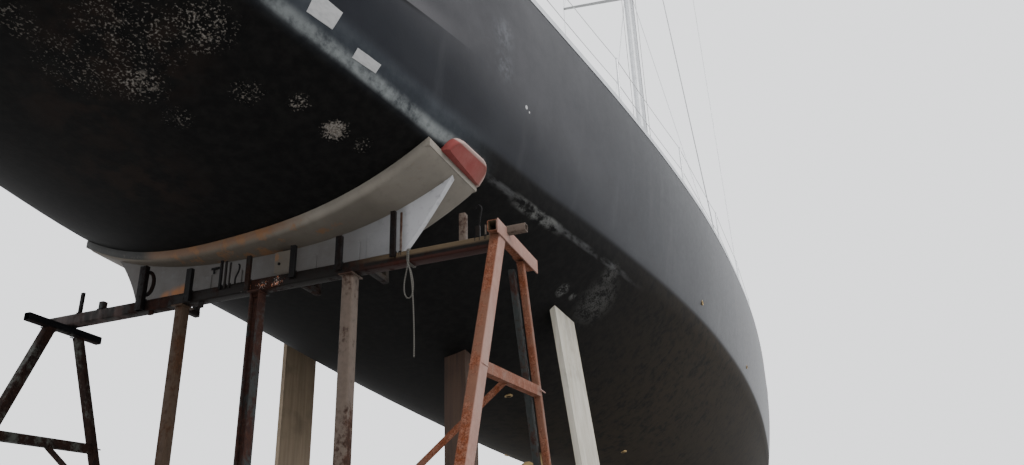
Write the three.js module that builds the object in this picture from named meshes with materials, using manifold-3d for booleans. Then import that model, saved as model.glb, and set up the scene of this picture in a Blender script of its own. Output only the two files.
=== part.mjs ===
// A large racing sloop laid up ashore on its keel blocks and cradle.
// Millimetres, +X to the bow, +Y to port, +Z up, origin on the ground below the middle of the hull.
import * as THREE from "three";
import { mergeVertices } from "three/addons/utils/BufferGeometryUtils.js";
import Module from "manifold-3d";

const wasm = await Module();
wasm.setup();

// Driving dimensions of the hull
const LENGTH = 25000;
const STERN_X = -LENGTH / 2;
const BOW_X = LENGTH / 2;
const TRANSOM_RAKE = 560; // how far the deck stops short of the bottom at the stern
const SADDLE_X = STERN_X + 3600; // aft edge of the saddle under the run of the hull
const BILGE_WIDTH = 110; // the rounded bilge between bottom and topside, seen end on
const BILGE_HEIGHT = 250;
const TOPSIDE_SWELL = 45; // how far the topside bows out between bilge and sheer
const DECK_CAMBER = 90;
const TOUCH = 0.5; // gap kept where two pieces touch

// Cockpit
const WELL_AFT = SADDLE_X - 1500;
const WELL_FORE = SADDLE_X + 2900;
const WELL_HALF = 1150;
const SOLE_Z = 5720;

// Rig
const MAST_X = SADDLE_X + 11600;
const MAST_TOP = 31500;
const MAST_CHORD = 330;
const MAST_WIDTH = 210;
const HOUNDS_Z = 26600; // where the shrouds meet the mast
const FORESTAY_Z = 26000;
const STEM_SETBACK = 800; // from the stem to the foot of the forestay
const STAY_RADIUS = 8;
const GOOSENECK_Z = 8150;
const BOOM_LENGTH = 8300;
const CHAINPLATE_X = MAST_X - 150;

// Keel, rudder and propeller
const KEEL_X = SADDLE_X + 9800;
const BULB_Z = 520;
const BULB_LENGTH = 3800;
const BULB_RADIUS = 310;
const RUDDER_X = SADDLE_X - 2600;
const RUDDER_RAKE = THREE.MathUtils.degToRad(9.5);
const PROPELLER_X = SADDLE_X + 4900;
const PROPELLER_Z = 2960;
const PROPELLER_RADIUS = 310;
const SHAFT_RISE = THREE.MathUtils.degToRad(8);
const SHAFT_RADIUS = 22;

// Cradle
const CRADLE_SKEW = THREE.MathUtils.degToRad(5.7); // the beam lies a little askew under the hull
const BAND_LENGTH = 650;
const BAND_THICK = 70;
const BAND_HALF = 1640;
const BEAM_TOP = 3800;
const BEAM_DEPTH = 85;
const BEAM_WIDTH = 90;

const material = (color, roughness, metalness = 0) =>
  new THREE.MeshStandardMaterial({ color, roughness, metalness });
const paint = material(0x23272f, 0.4);
const deckPaint = material(0xcfd0cc, 0.6);
const lead = material(0x2a2b2c, 0.7);
const alloy = material(0xa9acaf, 0.35, 1);
const steel = material(0xc4c6c8, 0.25, 1);
const bronze = material(0x8d6b3a, 0.4, 1);
const rope = material(0xcfcabb, 0.9);
const acrylic = material(0x2b2f33, 0.1);
const rust = material(0x6b3d25, 0.9, 0.3);
const moulding = material(0xb9bab4, 0.6);
const rubber = material(0xb5483f, 0.7);
const timber = material(0xb9a47c, 0.8);

const yacht = new THREE.Group();
const cradle = new THREE.Group();
const trestleGroup = new THREE.Group();
yacht.add(cradle);
cradle.position.x = SADDLE_X;
trestleGroup.rotation.z = CRADLE_SKEW;
cradle.add(trestleGroup);

function piece(name, geometry, look, group = yacht) {
  const mesh = new THREE.Mesh(geometry, look);
  mesh.name = name;
  group.add(mesh);
  return mesh;
}

// Joining and cutting
function toSolid(geometry) {
  const bare = geometry.clone();
  bare.deleteAttribute("normal");
  bare.deleteAttribute("uv");
  const merged = mergeVertices(bare, 1e-3);
  return new wasm.Manifold(
    new wasm.Mesh({
      numProp: 3,
      vertProperties: merged.attributes.position.array,
      triVerts: new Uint32Array(merged.index.array),
    }),
  );
}

function toGeometry(solid) {
  const mesh = solid.getMesh();
  const geometry = new THREE.BufferGeometry();
  geometry.setAttribute("position", new THREE.Float32BufferAttribute(mesh.vertProperties, 3));
  geometry.setIndex(new THREE.Uint32BufferAttribute(mesh.triVerts, 1));
  geometry.computeVertexNormals();
  return geometry;
}

const fuse = (...shapes) =>
  toGeometry(shapes.flat().map(toSolid).reduce((whole, next) => whole.add(next)));

const cut = (shape, ...tools) =>
  toGeometry(tools.flat().map(toSolid).reduce((rest, tool) => rest.subtract(tool), toSolid(shape)));

// Basic shapes
const point = (x, y, z) => new THREE.Vector3(x, y, z);

const block = (length, width, height, x, y, z) =>
  new THREE.BoxGeometry(length, width, height).translate(x, y, z);

// A round bar between two points.
function rod(from, to, radius, sides = 8) {
  const way = to.clone().sub(from);
  const turn = new THREE.Quaternion().setFromUnitVectors(point(0, 1, 0), way.clone().normalize());
  const middle = from.clone().add(to).multiplyScalar(0.5);
  return new THREE.CylinderGeometry(radius, radius, way.length(), sides)
    .applyQuaternion(turn)
    .translate(middle.x, middle.y, middle.z);
}

// A flat plate seen from the side: its outline as [forward, up] places, its thickness across the boat.
function plate(places, thick, y = 0) {
  const outline = new THREE.Shape(places.map(([x, z]) => new THREE.Vector2(x, z)));
  return new THREE.ExtrudeGeometry(outline, { depth: thick, bevelEnabled: false })
    .rotateX(Math.PI / 2)
    .translate(0, y + thick / 2, 0);
}

// A straight bar of rectangular section between two points; its width lies square to the side vector.
function bar(from, to, width, depth, side = point(0, 1, 0)) {
  const way = to.clone().sub(from);
  const along = way.clone().normalize();
  const across = side.clone().addScaledVector(along, -side.dot(along)).normalize();
  const other = along.clone().cross(across);
  const turn = new THREE.Matrix4().makeBasis(along, across, other);
  const middle = from.clone().add(to).multiplyScalar(0.5);
  return new THREE.BoxGeometry(way.length(), width, depth)
    .applyMatrix4(turn)
    .translate(middle.x, middle.y, middle.z);
}

// A closed skin through rings of equal count, with flat ends.
function loft(rings) {
  const count = rings[0].length;
  const positions = rings.flat().flatMap((p) => [p.x, p.y, p.z]);
  const faces = [];
  for (let i = 0; i + 1 < rings.length; i += 1) {
    for (let j = 0; j < count; j += 1) {
      const a = i * count + j;
      const b = i * count + ((j + 1) % count);
      faces.push(a, b, a + count, b, b + count, a + count);
    }
  }
  const cap = (ring, base, atStart) => {
    const flat = ring.map((p) => new THREE.Vector2(p.y, p.z));
    const flip = atStart === THREE.ShapeUtils.area(flat) > 0;
    for (const [a, b, c] of THREE.ShapeUtils.triangulateShape(flat, [])) {
      faces.push(base + a, base + (flip ? c : b), base + (flip ? b : c));
    }
  };
  cap(rings[0], 0, true);
  cap(rings[rings.length - 1], (rings.length - 1) * count, false);
  const geometry = new THREE.BufferGeometry();
  geometry.setAttribute("position", new THREE.Float32BufferAttribute(positions, 3));
  geometry.setIndex(faces);
  const outward = toSignedVolume(geometry) > 0;
  if (!outward) {
    for (let i = 0; i < faces.length; i += 3) {
      [faces[i + 1], faces[i + 2]] = [faces[i + 2], faces[i + 1]];
    }
    geometry.setIndex(faces);
  }
  return geometry;
}

function toSignedVolume(geometry) {
  const at = geometry.attributes.position;
  const index = geometry.index.array;
  const corner = (i) => new THREE.Vector3().fromBufferAttribute(at, index[i]);
  let volume = 0;
  for (let i = 0; i < index.length; i += 3) {
    volume += corner(i).dot(corner(i + 1).cross(corner(i + 2))) / 6;
  }
  return volume;
}

// The hull's stations. Each row: distance forward of the saddle, half-breadth and height of the sheer,
// half-breadth and height of the bilge's lower edge, height of the bottom, and how square the bottom is.
const COLUMNS = ["ahead", "sheerHalf", "sheerZ", "bilgeHalf", "bilgeZ", "bottomZ", "power"];
const STATIONS = [
  [-3600, 1430, 6250, 1095, 4940, 4740, 2.4],
  [-2400, 1640, 6260, 1295, 4805, 4565, 2.4],
  [-1200, 1820, 6280, 1475, 4680, 4395, 2.4],
  [0, 1930, 6290, 1645, 4566, 4220, 2.55],
  [1400, 2050, 6300, 1790, 4560, 3970, 2.3],
  [2800, 2160, 6300, 1910, 4590, 3710, 2.2],
  [4300, 2230, 6305, 1990, 4620, 3500, 2.0],
  [6000, 2240, 6310, 2010, 4640, 3370, 2.0],
  [8200, 2130, 6340, 1910, 4650, 3310, 2.0],
  [10500, 1920, 6390, 1690, 4650, 3320, 1.9],
  [13000, 1600, 6460, 1350, 4650, 3410, 1.8],
  [15500, 1220, 6550, 950, 4660, 3620, 1.7],
  [18000, 830, 6660, 520, 4690, 3990, 1.5],
  [19700, 500, 6740, 230, 4800, 4450, 1.3],
  [20700, 260, 6780, 90, 5300, 5120, 1.2],
  [21400, 60, 6810, 30, 6500, 6440, 1.1],
].map((row) => Object.fromEntries(COLUMNS.map((name, i) => [name, row[i]])));

// A column's value at any distance forward, by a smooth curve through the stations.
function hullAt(ahead) {
  const last = STATIONS.length - 2;
  let i = 0;
  while (i < last && ahead > STATIONS[i + 1].ahead) i += 1;
  const a = STATIONS[i];
  const b = STATIONS[i + 1];
  const before = STATIONS[Math.max(i - 1, 0)];
  const after = STATIONS[Math.min(i + 2, last + 1)];
  const span = b.ahead - a.ahead;
  const t = (ahead - a.ahead) / span;
  const found = { ahead };
  for (const name of COLUMNS.slice(1)) {
    const rise = (b[name] - a[name]) / span;
    const slopeA = before === a ? rise : (b[name] - before[name]) / (b.ahead - before.ahead);
    const slopeB = after === b ? rise : (after[name] - a[name]) / (after.ahead - a.ahead);
    found[name] =
      a[name] * (1 + 2 * t) * (1 - t) ** 2 +
      b[name] * t * t * (3 - 2 * t) +
      slopeA * span * t * (1 - t) ** 2 -
      slopeB * span * t * t * (1 - t);
  }
  return found;
}

const bottomAt = (ahead, y) => {
  const s = hullAt(ahead);
  return s.bottomZ + (s.bilgeZ - s.bottomZ) * Math.min(Math.abs(y) / s.bilgeHalf, 1) ** s.power;
};
const deckAt = (ahead, y = 0) => {
  const s = hullAt(ahead);
  return s.sheerZ + DECK_CAMBER * (s.sheerHalf / 2240) * (1 - (y / s.sheerHalf) ** 2);
};

// Half a section from the centre of the bottom to the sheer, as [half-breadth, height].
const BOTTOM_STEPS = 7;
const BILGE_STEPS = 3;
const TOPSIDE_STEPS = 4;
function halfSection(s) {
  const points = [];
  for (let i = 0; i <= BOTTOM_STEPS; i += 1) {
    const share = i / BOTTOM_STEPS;
    points.push([
      s.bilgeHalf * share,
      s.bottomZ + (s.bilgeZ - s.bottomZ) * share ** s.power,
    ]);
  }
  const fade = Math.min(1, (s.sheerZ - s.bilgeZ) / 1500, s.bilgeHalf / 900);
  const bandWidth = BILGE_WIDTH * fade;
  const bandHeight = BILGE_HEIGHT * fade;
  for (let i = 1; i <= BILGE_STEPS; i += 1) {
    const turn = ((i / BILGE_STEPS) * Math.PI) / 2;
    const blend = i / BILGE_STEPS;
    points.push([
      s.bilgeHalf + bandWidth * (0.35 * Math.sin(turn) + 0.65 * blend),
      s.bilgeZ + bandHeight * (0.35 * (1 - Math.cos(turn)) + 0.65 * blend),
    ]);
  }
  const [startHalf, startZ] = points[points.length - 1];
  const swell = TOPSIDE_SWELL * fade;
  for (let i = 1; i <= TOPSIDE_STEPS; i += 1) {
    const share = i / TOPSIDE_STEPS;
    points.push([
      startHalf + (s.sheerHalf - startHalf) * share + swell * 4 * share * (1 - share),
      startZ + (s.sheerZ - startZ) * share,
    ]);
  }
  return points;
}

function hullRing(ahead) {
  const s = hullAt(ahead);
  const half = halfSection(s);
  const x = SADDLE_X + ahead;
  const starboard = half.slice(1).reverse().map(([y, z]) => point(x, -y, z));
  const centre = point(x, 0, half[0][1]);
  const port = half.slice(1).map(([y, z]) => point(x, y, z));
  const deck = [0.6, 0, -0.6].map((share) =>
    point(x, share * s.sheerHalf, deckAt(ahead, share * s.sheerHalf)),
  );
  return [...starboard, centre, ...port, ...deck];
}

const RINGS = 34;
const ringPlaces = Array.from({ length: RINGS + 1 }, (_, i) => {
  const share = i / RINGS;
  const first = STATIONS[0].ahead;
  const last = STATIONS[STATIONS.length - 1].ahead;
  return first + (last - first) * (share + 0.06 * Math.sin(2 * Math.PI * share) * share);
});
const bareHull = loft(ringPlaces.map(hullRing));

// What is cut from the hull: the raked transom, the cockpit well, the hatchways and two bores
const transomFoot = STATIONS[0].bottomZ;
const rakeAt = (z) => STERN_X + (TRANSOM_RAKE * (z - transomFoot)) / (STATIONS[0].sheerZ - transomFoot);
const transomCut = plate(
  [[STERN_X - 900, 4000], [rakeAt(4000), 4000], [rakeAt(7500), 7500], [STERN_X - 900, 7500]],
  5000,
);

const well = block(
  WELL_FORE - WELL_AFT, 2 * WELL_HALF, 1400,
  (WELL_FORE + WELL_AFT) / 2, 0, SOLE_Z + 700,
);

// Hatches. Each row: name, distance forward of the saddle, side of the square opening, what it stands on.
const HATCHES = [
  { name: "lazarette_hatch", ahead: -2100, side: 460, roof: 0 },
  { name: "saloon_hatch", ahead: 6200, side: 560, roof: 445 },
  { name: "cabin_hatch", ahead: 8900, side: 560, roof: 355 },
  { name: "fore_hatch", ahead: 15200, side: 620, roof: 0 },
];
const HATCH_RIM = 45;
const RIM_HEIGHT = 60;
const LID_THICK = 36;
const HATCH_DEPTH = 420;

const hatchTop = (h) => deckAt(h.ahead) + h.roof + RIM_HEIGHT;
const hatchRim = (h) =>
  block(
    h.side + 2 * HATCH_RIM, h.side + 2 * HATCH_RIM, 200,
    SADDLE_X + h.ahead, 0, hatchTop(h) - 100,
  );
const HATCH_CLEAR = 200; // how far a hole's cutter stands over the rim
const hatchHole = (h) => {
  const height = HATCH_DEPTH + HATCH_CLEAR;
  return block(h.side, h.side, height, SADDLE_X + h.ahead, 0, hatchTop(h) + HATCH_CLEAR - height / 2);
};

// Rudder stock: its line stands square to the bottom.
const stockAxis = point(Math.sin(RUDDER_RAKE), 0, Math.cos(RUDDER_RAKE));
const stockFoot = point(RUDDER_X, 0, bottomAt(RUDDER_X - SADDLE_X, 0));
const alongStock = (distance, aft = 0, y = 0) =>
  stockFoot.clone().addScaledVector(stockAxis, distance).add(
    point(-aft * Math.cos(RUDDER_RAKE), y, aft * Math.sin(RUDDER_RAKE)),
  );
const STOCK_RADIUS = 55;
const STOCK_BORE = 62;
const stockBore = rod(alongStock(-200), alongStock(420), STOCK_BORE, 24);

// Propeller shaft
const shaftAxis = point(Math.cos(SHAFT_RISE), 0, Math.sin(SHAFT_RISE));
const shaftAt = (distance) => point(PROPELLER_X, 0, PROPELLER_Z).addScaledVector(shaftAxis, distance);
const SHAFT_LENGTH = 2750;
const shaftBore = rod(shaftAt(1400), shaftAt(SHAFT_LENGTH + 30), SHAFT_RADIUS + 6, 16);

// Low coachroof, lofted over the deck. Each row: distance forward, half-width at the foot, height.
const ROOF_ROWS = [
  [2900, 1250, 620],
  [4600, 1260, 540],
  [7000, 1150, 400],
  [9300, 950, 330],
  [10700, 700, 210],
  [11300, 480, 60],
];
const ROOF_ROOT = 150; // how far its sides run down into the deck
const roofRing = ([ahead, half, height]) => {
  const foot = deckAt(ahead) - ROOF_ROOT;
  const top = deckAt(ahead) + height;
  const x = SADDLE_X + ahead;
  const side = [
    [1, foot],
    [0.985, foot + ROOF_ROOT + height * 0.35],
    [0.9, top - height * 0.18],
    [0.72, top - height * 0.03],
    [0.35, top + 12],
  ];
  return [
    ...side.map(([share, z]) => point(x, -half * share, z)),
    ...side.toReversed().map(([share, z]) => point(x, half * share, z)),
  ];
};
const ROOF_AFT = SADDLE_X + ROOF_ROWS[0][0];
const COMPANION_HALF = 380;
const COMPANION_DEPTH = 760;
const SILL_HEIGHT = 50; // above the deck
const companionTop = deckAt(ROOF_ROWS[0][0]) + ROOF_ROWS[0][2];
const companionSill = deckAt(ROOF_ROWS[0][0]) + SILL_HEIGHT;
const companionway = block(
  2 * COMPANION_DEPTH, 2 * COMPANION_HALF, 1600,
  ROOF_AFT, 0, companionSill + 800,
);

const deckHatches = HATCHES.filter((h) => h.roof === 0);
const roofHatches = HATCHES.filter((h) => h.roof > 0);

const hull = cut(
  fuse(bareHull, ...deckHatches.map(hatchRim)),
  transomCut, well, stockBore, shaftBore, ...deckHatches.map(hatchHole), ...roofHatches.map(hatchHole),
);
piece("hull", hull, paint);

// Whatever stands against the hull is cut by it, and by copies moved a touch, so that a gap is left.
const hullBelow = bareHull.clone().translate(0, 0, -TOUCH);
const hullAbove = bareHull.clone().translate(0, 0, TOUCH);

// Foil rings lie level, so their ends are capped in the X Y plane.
function foilLoft(rings) {
  const turned = rings.map((ring) => ring.map((p) => point(p.z, p.x, p.y)));
  const geometry = loft(turned);
  const at = geometry.attributes.position;
  for (let i = 0; i < at.count; i += 1) {
    at.setXYZ(i, at.getY(i), at.getZ(i), at.getX(i));
  }
  return geometry;
}

// The mast comes down through the coachroof to the deck. A ring of its tube: height and share of full size.
const MAST_FOOT = 6000;
const COLLAR = 1.01; // the hole in the coachroof, as a share of the mast's size
const mastRing = ([z, scale]) =>
  Array.from({ length: 16 }, (_, i) => {
    const turn = (i * Math.PI) / 8;
    return point(
      MAST_X + scale * (MAST_CHORD / 2) * Math.cos(turn),
      scale * (MAST_WIDTH / 2) * Math.sin(turn),
      z,
    );
  });
const mastHole = foilLoft([[MAST_FOOT, COLLAR], [GOOSENECK_Z, COLLAR]].map(mastRing));

const bareRoof = loft(ROOF_ROWS.map(roofRing));
piece(
  "coachroof",
  cut(
    fuse(bareRoof, ...roofHatches.map(hatchRim)),
    hullAbove, companionway, mastHole, ...roofHatches.map(hatchHole),
  ),
  deckPaint,
);

// Hatch lids, each hinged at its forward edge
for (const h of HATCHES) {
  const size = h.side + 2 * HATCH_RIM;
  piece(
    h.name,
    block(size, size, LID_THICK, SADDLE_X + h.ahead, 0, hatchTop(h) + TOUCH + LID_THICK / 2),
    acrylic,
  );
}

// Sliding hatch over the companionway, and its two doors
const SLIDE_THICK = 34;
const slideZ = companionTop + 12 + 8 + SLIDE_THICK / 2;
piece(
  "companionway_slide",
  block(
    COMPANION_DEPTH + 30, 2 * COMPANION_HALF + 120, SLIDE_THICK,
    ROOF_AFT + 10 + (COMPANION_DEPTH + 30) / 2, 0, slideZ,
  ),
  acrylic,
);
const DOOR_THICK = 28;
const DOOR_LAP = 30; // how far the doors overlap the edge of their opening
for (const [side, name] of [[1, "port"], [-1, "starboard"]]) {
  piece(
    "companionway_door_" + name,
    block(
      DOOR_THICK, COMPANION_HALF + DOOR_LAP - 3, companionTop - companionSill + DOOR_LAP,
      ROOF_AFT - DOOR_THICK / 2 - TOUCH, side * ((COMPANION_HALF + DOOR_LAP + 3) / 2),
      (companionTop + companionSill - DOOR_LAP) / 2,
    ),
    deckPaint,
  );
}

// Keel: a foil-shaped fin from the bottom down to a lead bulb
const foilHalf = (share) =>
  2.97 * Math.sqrt(share) - 1.26 * share - 3.516 * share ** 2 + 2.843 * share ** 3 - 1.036 * share ** 4;
// Ring of a foil in a level plane: nose at the front, thickness as a share of the chord.
function foilRing(noseX, chord, thick, z, steps = 7) {
  const side = Array.from({ length: steps + 1 }, (_, i) => {
    const share = 0.5 * (1 - Math.cos((Math.PI * i) / steps));
    return [share, Math.max(foilHalf(share) * thick * chord * 0.5, 4)];
  });
  const right = side.slice(1).map(([share, half]) => point(noseX - share * chord, -half, z));
  const left = side.slice(1).reverse().map(([share, half]) => point(noseX - share * chord, half, z));
  return [point(noseX, 0, z), ...right, ...left];
}
const FIN_ROWS = [
  // nose ahead of the keel's middle, chord, thickness share, height
  [1500, 2900, 0.115, 3700],
  [1400, 2600, 0.12, 3100],
  [1050, 2000, 0.13, BULB_Z + 150],
];
const BULB_STEPS = 12;
const BULB_WIDEST = 0.4; // how far along the bulb is thickest
const bulbProfile = Array.from({ length: BULB_STEPS + 1 }, (_, i) => {
  const share = 0.5 * (1 - Math.cos((Math.PI * i) / BULB_STEPS));
  const swell = share < BULB_WIDEST
    ? Math.sin((share / BULB_WIDEST) * (Math.PI / 2)) ** 0.8
    : Math.cos(((share - BULB_WIDEST) / (1 - BULB_WIDEST)) * (Math.PI / 2)) ** 0.9;
  const radius = i === 0 || i === BULB_STEPS ? 0 : BULB_RADIUS * Math.max(swell, 0.03);
  return new THREE.Vector2(radius, share * BULB_LENGTH);
});
const bareBulb = new THREE.LatheGeometry(bulbProfile, 20)
  .rotateZ(Math.PI / 2)
  .translate(KEEL_X + BULB_LENGTH / 2, 0, BULB_Z);
const bulbFoot = BULB_Z - 0.8 * BULB_RADIUS; // the flat that it rests on
const bulbFlat = block(BULB_LENGTH, 2 * BULB_RADIUS, 200, KEEL_X, 0, bulbFoot - 100);
const bulb = cut(bareBulb, bulbFlat);
piece("keel_bulb", bulb, lead);
const fin = foilLoft(FIN_ROWS.map(([nose, chord, thick, z]) => foilRing(KEEL_X + nose, chord, thick, z)));
piece("keel_fin", cut(fin, hullBelow, bulb.clone().translate(0, 0, TOUCH)), paint);

// Rudder: a spade blade on its stock
const BLADE_TOP = -18;
const BLADE_DEPTH = 2650;
const BLADE_ROWS = [
  // distance along the stock, nose ahead of the stock, chord, thickness share
  [BLADE_TOP, 260, 980, 0.15],
  [BLADE_TOP - 1300, 235, 860, 0.14],
  [BLADE_TOP - 2300, 190, 660, 0.13],
  [BLADE_TOP - BLADE_DEPTH, 120, 430, 0.12],
];
const bladeRings = BLADE_ROWS.map(([along, nose, chord, thick]) =>
  foilRing(nose, chord, thick, 0).map((p) => alongStock(along, -p.x, p.y)),
);
piece("rudder", fuse(foilLoft(bladeRings), rod(alongStock(-700), alongStock(405), STOCK_RADIUS, 20)), paint);

// Propeller with its shaft, and the bracket that carries the shaft's end
const HUB_LENGTH = 190;
const hub = rod(shaftAt(-HUB_LENGTH / 2), shaftAt(HUB_LENGTH / 2), 62, 16);
const hubNose = new THREE.ConeGeometry(62, 110, 16);
hubNose.applyQuaternion(
  new THREE.Quaternion().setFromUnitVectors(point(0, 1, 0), shaftAxis.clone().negate()),
);
const nosePlace = shaftAt(-HUB_LENGTH / 2 - 54);
hubNose.translate(nosePlace.x, nosePlace.y, nosePlace.z);
const BLADES = 3;
const BLADE_THICK = 16;
const BLADE_PITCH = THREE.MathUtils.degToRad(52);
const blades = Array.from({ length: BLADES }, (_, i) => {
  const outline = new THREE.Shape();
  outline.moveTo(-45, 30);
  outline.bezierCurveTo(-130, 140, -120, 270, 0, PROPELLER_RADIUS);
  outline.bezierCurveTo(110, 270, 90, 140, 45, 30);
  outline.closePath();
  const blade = new THREE.ExtrudeGeometry(outline, {
    depth: BLADE_THICK, bevelEnabled: false, curveSegments: 6,
  });
  blade.translate(0, 0, -BLADE_THICK / 2);
  blade.rotateY(BLADE_PITCH);
  blade.rotateX(THREE.MathUtils.degToRad(90) + (i * 2 * Math.PI) / BLADES);
  blade.rotateY(-SHAFT_RISE);
  return blade.translate(PROPELLER_X, 0, PROPELLER_Z);
});
piece("propeller", fuse(hub, hubNose, ...blades), bronze);
piece(
  "propeller_shaft",
  rod(shaftAt(HUB_LENGTH / 2 + TOUCH), shaftAt(SHAFT_LENGTH), SHAFT_RADIUS, 16),
  steel,
);
const ringMiddle = shaftAt(330);
const strutTop = point(ringMiddle.x + 120, 0, 3900);
piece(
  "shaft_bracket",
  cut(
    fuse(
      rod(shaftAt(230), shaftAt(430), 52, 20),
      bar(ringMiddle.clone().add(point(0, 0, 20)), strutTop, 34, 150),
    ),
    rod(shaftAt(200), shaftAt(460), SHAFT_RADIUS + 1, 16),
    hullBelow,
  ),
  bronze,
);

// Steering: two pedestals in the well, each with a wheel on its aft side
const WHEEL_X = SADDLE_X - 550;
const WHEEL_Y = 600;
const WHEEL_Z = 6560;
const WHEEL_RADIUS = 430;
const SPOKES = 5;
for (const [side, name] of [[1, "port"], [-1, "starboard"]]) {
  const y = side * WHEEL_Y;
  const column = loft([
    [0, 260, 300],
    [WHEEL_Z + 120 - SOLE_Z, 150, 170],
  ].map(([up, length, width]) => [
    [-1, -1], [1, -1], [1, 1], [-1, 1],
  ].map(([a, b]) => point(up, (a * length) / 2, (b * width) / 2))));
  const at = column.attributes.position;
  for (let i = 0; i < at.count; i += 1) {
    at.setXYZ(i, WHEEL_X + 160 + at.getY(i), y + at.getZ(i), SOLE_Z + TOUCH + at.getX(i));
  }
  piece("pedestal_" + name, column, deckPaint);
  const rim = new THREE.TorusGeometry(WHEEL_RADIUS, 17, 5, 24).rotateY(Math.PI / 2);
  const spokes = Array.from({ length: SPOKES }, (_, i) => {
    const turn = (i * 2 * Math.PI) / SPOKES;
    return rod(
      point(0, 0, 0),
      point(0, WHEEL_RADIUS * Math.sin(turn), WHEEL_RADIUS * Math.cos(turn)),
      9, 6,
    );
  });
  const boss = rod(point(-35, 0, 0), point(45, 0, 0), 42, 16);
  piece("wheel_" + name, fuse(rim, ...spokes, boss).translate(WHEEL_X, y, WHEEL_Z), steel);
}

// Winches on the side decks
const WINCHES = [
  // name, distance forward of the saddle, offset from the middle line, size
  { name: "running", ahead: -300, y: 1420, size: 0.85 },
  { name: "primary", ahead: 1100, y: 1480, size: 1.15 },
  { name: "halyard", ahead: 2450, y: 1480, size: 0.9 },
];
const WINCH_PAD = 120; // height of the base that is let into the deck
const WINCH_RISE = 45;
const WINCH_PROFILE = [
  [0, 0], [135, 0], [135, 40], [95, 70], [85, 190], [110, 215], [110, 250], [60, 258], [0, 258],
];
for (const w of WINCHES) {
  for (const [side, name] of [[1, "port"], [-1, "starboard"]]) {
    const profile = WINCH_PROFILE.map(([r, up]) => new THREE.Vector2(r * w.size, up * w.size));
    const drum = new THREE.LatheGeometry(profile, 14).rotateX(Math.PI / 2);
    const pad = new THREE.CylinderGeometry(150 * w.size, 160 * w.size, WINCH_PAD, 14);
    pad.rotateX(Math.PI / 2).translate(0, 0, 1 - WINCH_PAD / 2);
    const top = deckAt(w.ahead, w.y) + WINCH_RISE;
    const whole = fuse(drum, pad).translate(SADDLE_X + w.ahead, side * w.y, top);
    piece(w.name + "_winch_" + name, cut(whole, hullAbove), steel);
  }
}

// Mainsheet track across the deck between wheels and companionway
const TRACK = { ahead: 900, overhang: 250, rise: 90, footOffset: WELL_HALF + 160, footHeight: 130 };
const trackX = SADDLE_X + TRACK.ahead;
const trackZ = deckAt(TRACK.ahead, WELL_HALF) + TRACK.rise;
const trackFootZ = deckAt(TRACK.ahead, TRACK.footOffset) + TRACK.footHeight / 2 + TOUCH + 6;
piece(
  "mainsheet_track",
  fuse(
    block(70, 2 * (WELL_HALF + TRACK.overhang), 40, trackX, 0, trackZ),
    block(130, 150, 70, trackX, 0, trackZ + 50),
    ...[1, -1].map((side) =>
      block(110, 90, TRACK.footHeight, trackX, side * TRACK.footOffset, trackFootZ)),
  ),
  alloy,
);

// Mast with two pairs of spreaders, tapered above the hounds
const MAST_ROWS = [[MAST_FOOT, 1], [HOUNDS_Z + 400, 1], [29500, 0.85], [MAST_TOP, 0.6]];
const mastTube = foilLoft(MAST_ROWS.map(mastRing));
const SPREADERS = [
  // height on the mast, reach to the tip, how far the tip is swept aft
  { name: "lower", z: 15200, reach: 1550, sweep: 290 },
  { name: "upper", z: 21100, reach: 1250, sweep: 230 },
];
const TIP_RISE = 60; // the tips stand a little higher than the roots
const SPREADER = { chord: 110, thick: 40 };
// A pair of spreaders in one piece, through a slot in the mast; grown by a gap it cuts that slot.
const spreaderPair = ({ z, reach, sweep }, gap = 0) => {
  const chord = SPREADER.chord + 2 * gap;
  const thick = SPREADER.thick + 2 * gap;
  return fuse(
    block(chord, 60, thick, MAST_X, 0, z),
    ...[1, -1].map((side) =>
      bar(
        point(MAST_X, 0, z),
        point(MAST_X - sweep, side * (reach - STAY_RADIUS - 4), z + TIP_RISE),
        chord, thick, point(1, 0, 0),
      )),
  );
};
for (const s of SPREADERS) piece("spreaders_" + s.name, spreaderPair(s), alloy);
piece("mast", cut(mastTube, hullAbove, ...SPREADERS.map((s) => spreaderPair(s, TOUCH))), alloy);

// Boom on its gooseneck
const GOOSENECK_X = MAST_X - MAST_CHORD / 2 - 120;
const boomRing = ([ahead, scale]) =>
  Array.from({ length: 12 }, (_, i) => {
    const turn = (i * Math.PI) / 6;
    return point(
      GOOSENECK_X + ahead,
      scale * 95 * Math.sin(turn),
      GOOSENECK_Z + scale * 135 * Math.cos(turn),
    );
  });
piece(
  "boom",
  fuse(
    loft([[-BOOM_LENGTH, 0.75], [-BOOM_LENGTH + 1800, 1], [-900, 1], [-70, 0.8]].map(boomRing)),
    block(120, 70, 120, GOOSENECK_X - 30, 0, GOOSENECK_Z),
    rod(point(GOOSENECK_X, 0, GOOSENECK_Z - 110), point(GOOSENECK_X, 0, GOOSENECK_Z + 110), 26, 12),
  ),
  alloy,
);
const gooseneckFork = [1, -1].map((side) =>
  block(190, 110, 26, GOOSENECK_X + 65, 0, GOOSENECK_Z + side * 135));
piece(
  "gooseneck",
  cut(
    fuse(...gooseneckFork, block(26, 110, 290, GOOSENECK_X + 103, 0, GOOSENECK_Z)),
    mastTube.clone().translate(-TOUCH, 0, 0),
  ),
  steel,
);

// A joint between two bars.
const bend = (p, radius) => new THREE.IcosahedronGeometry(radius, 0).translate(p.x, p.y, p.z);

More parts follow.
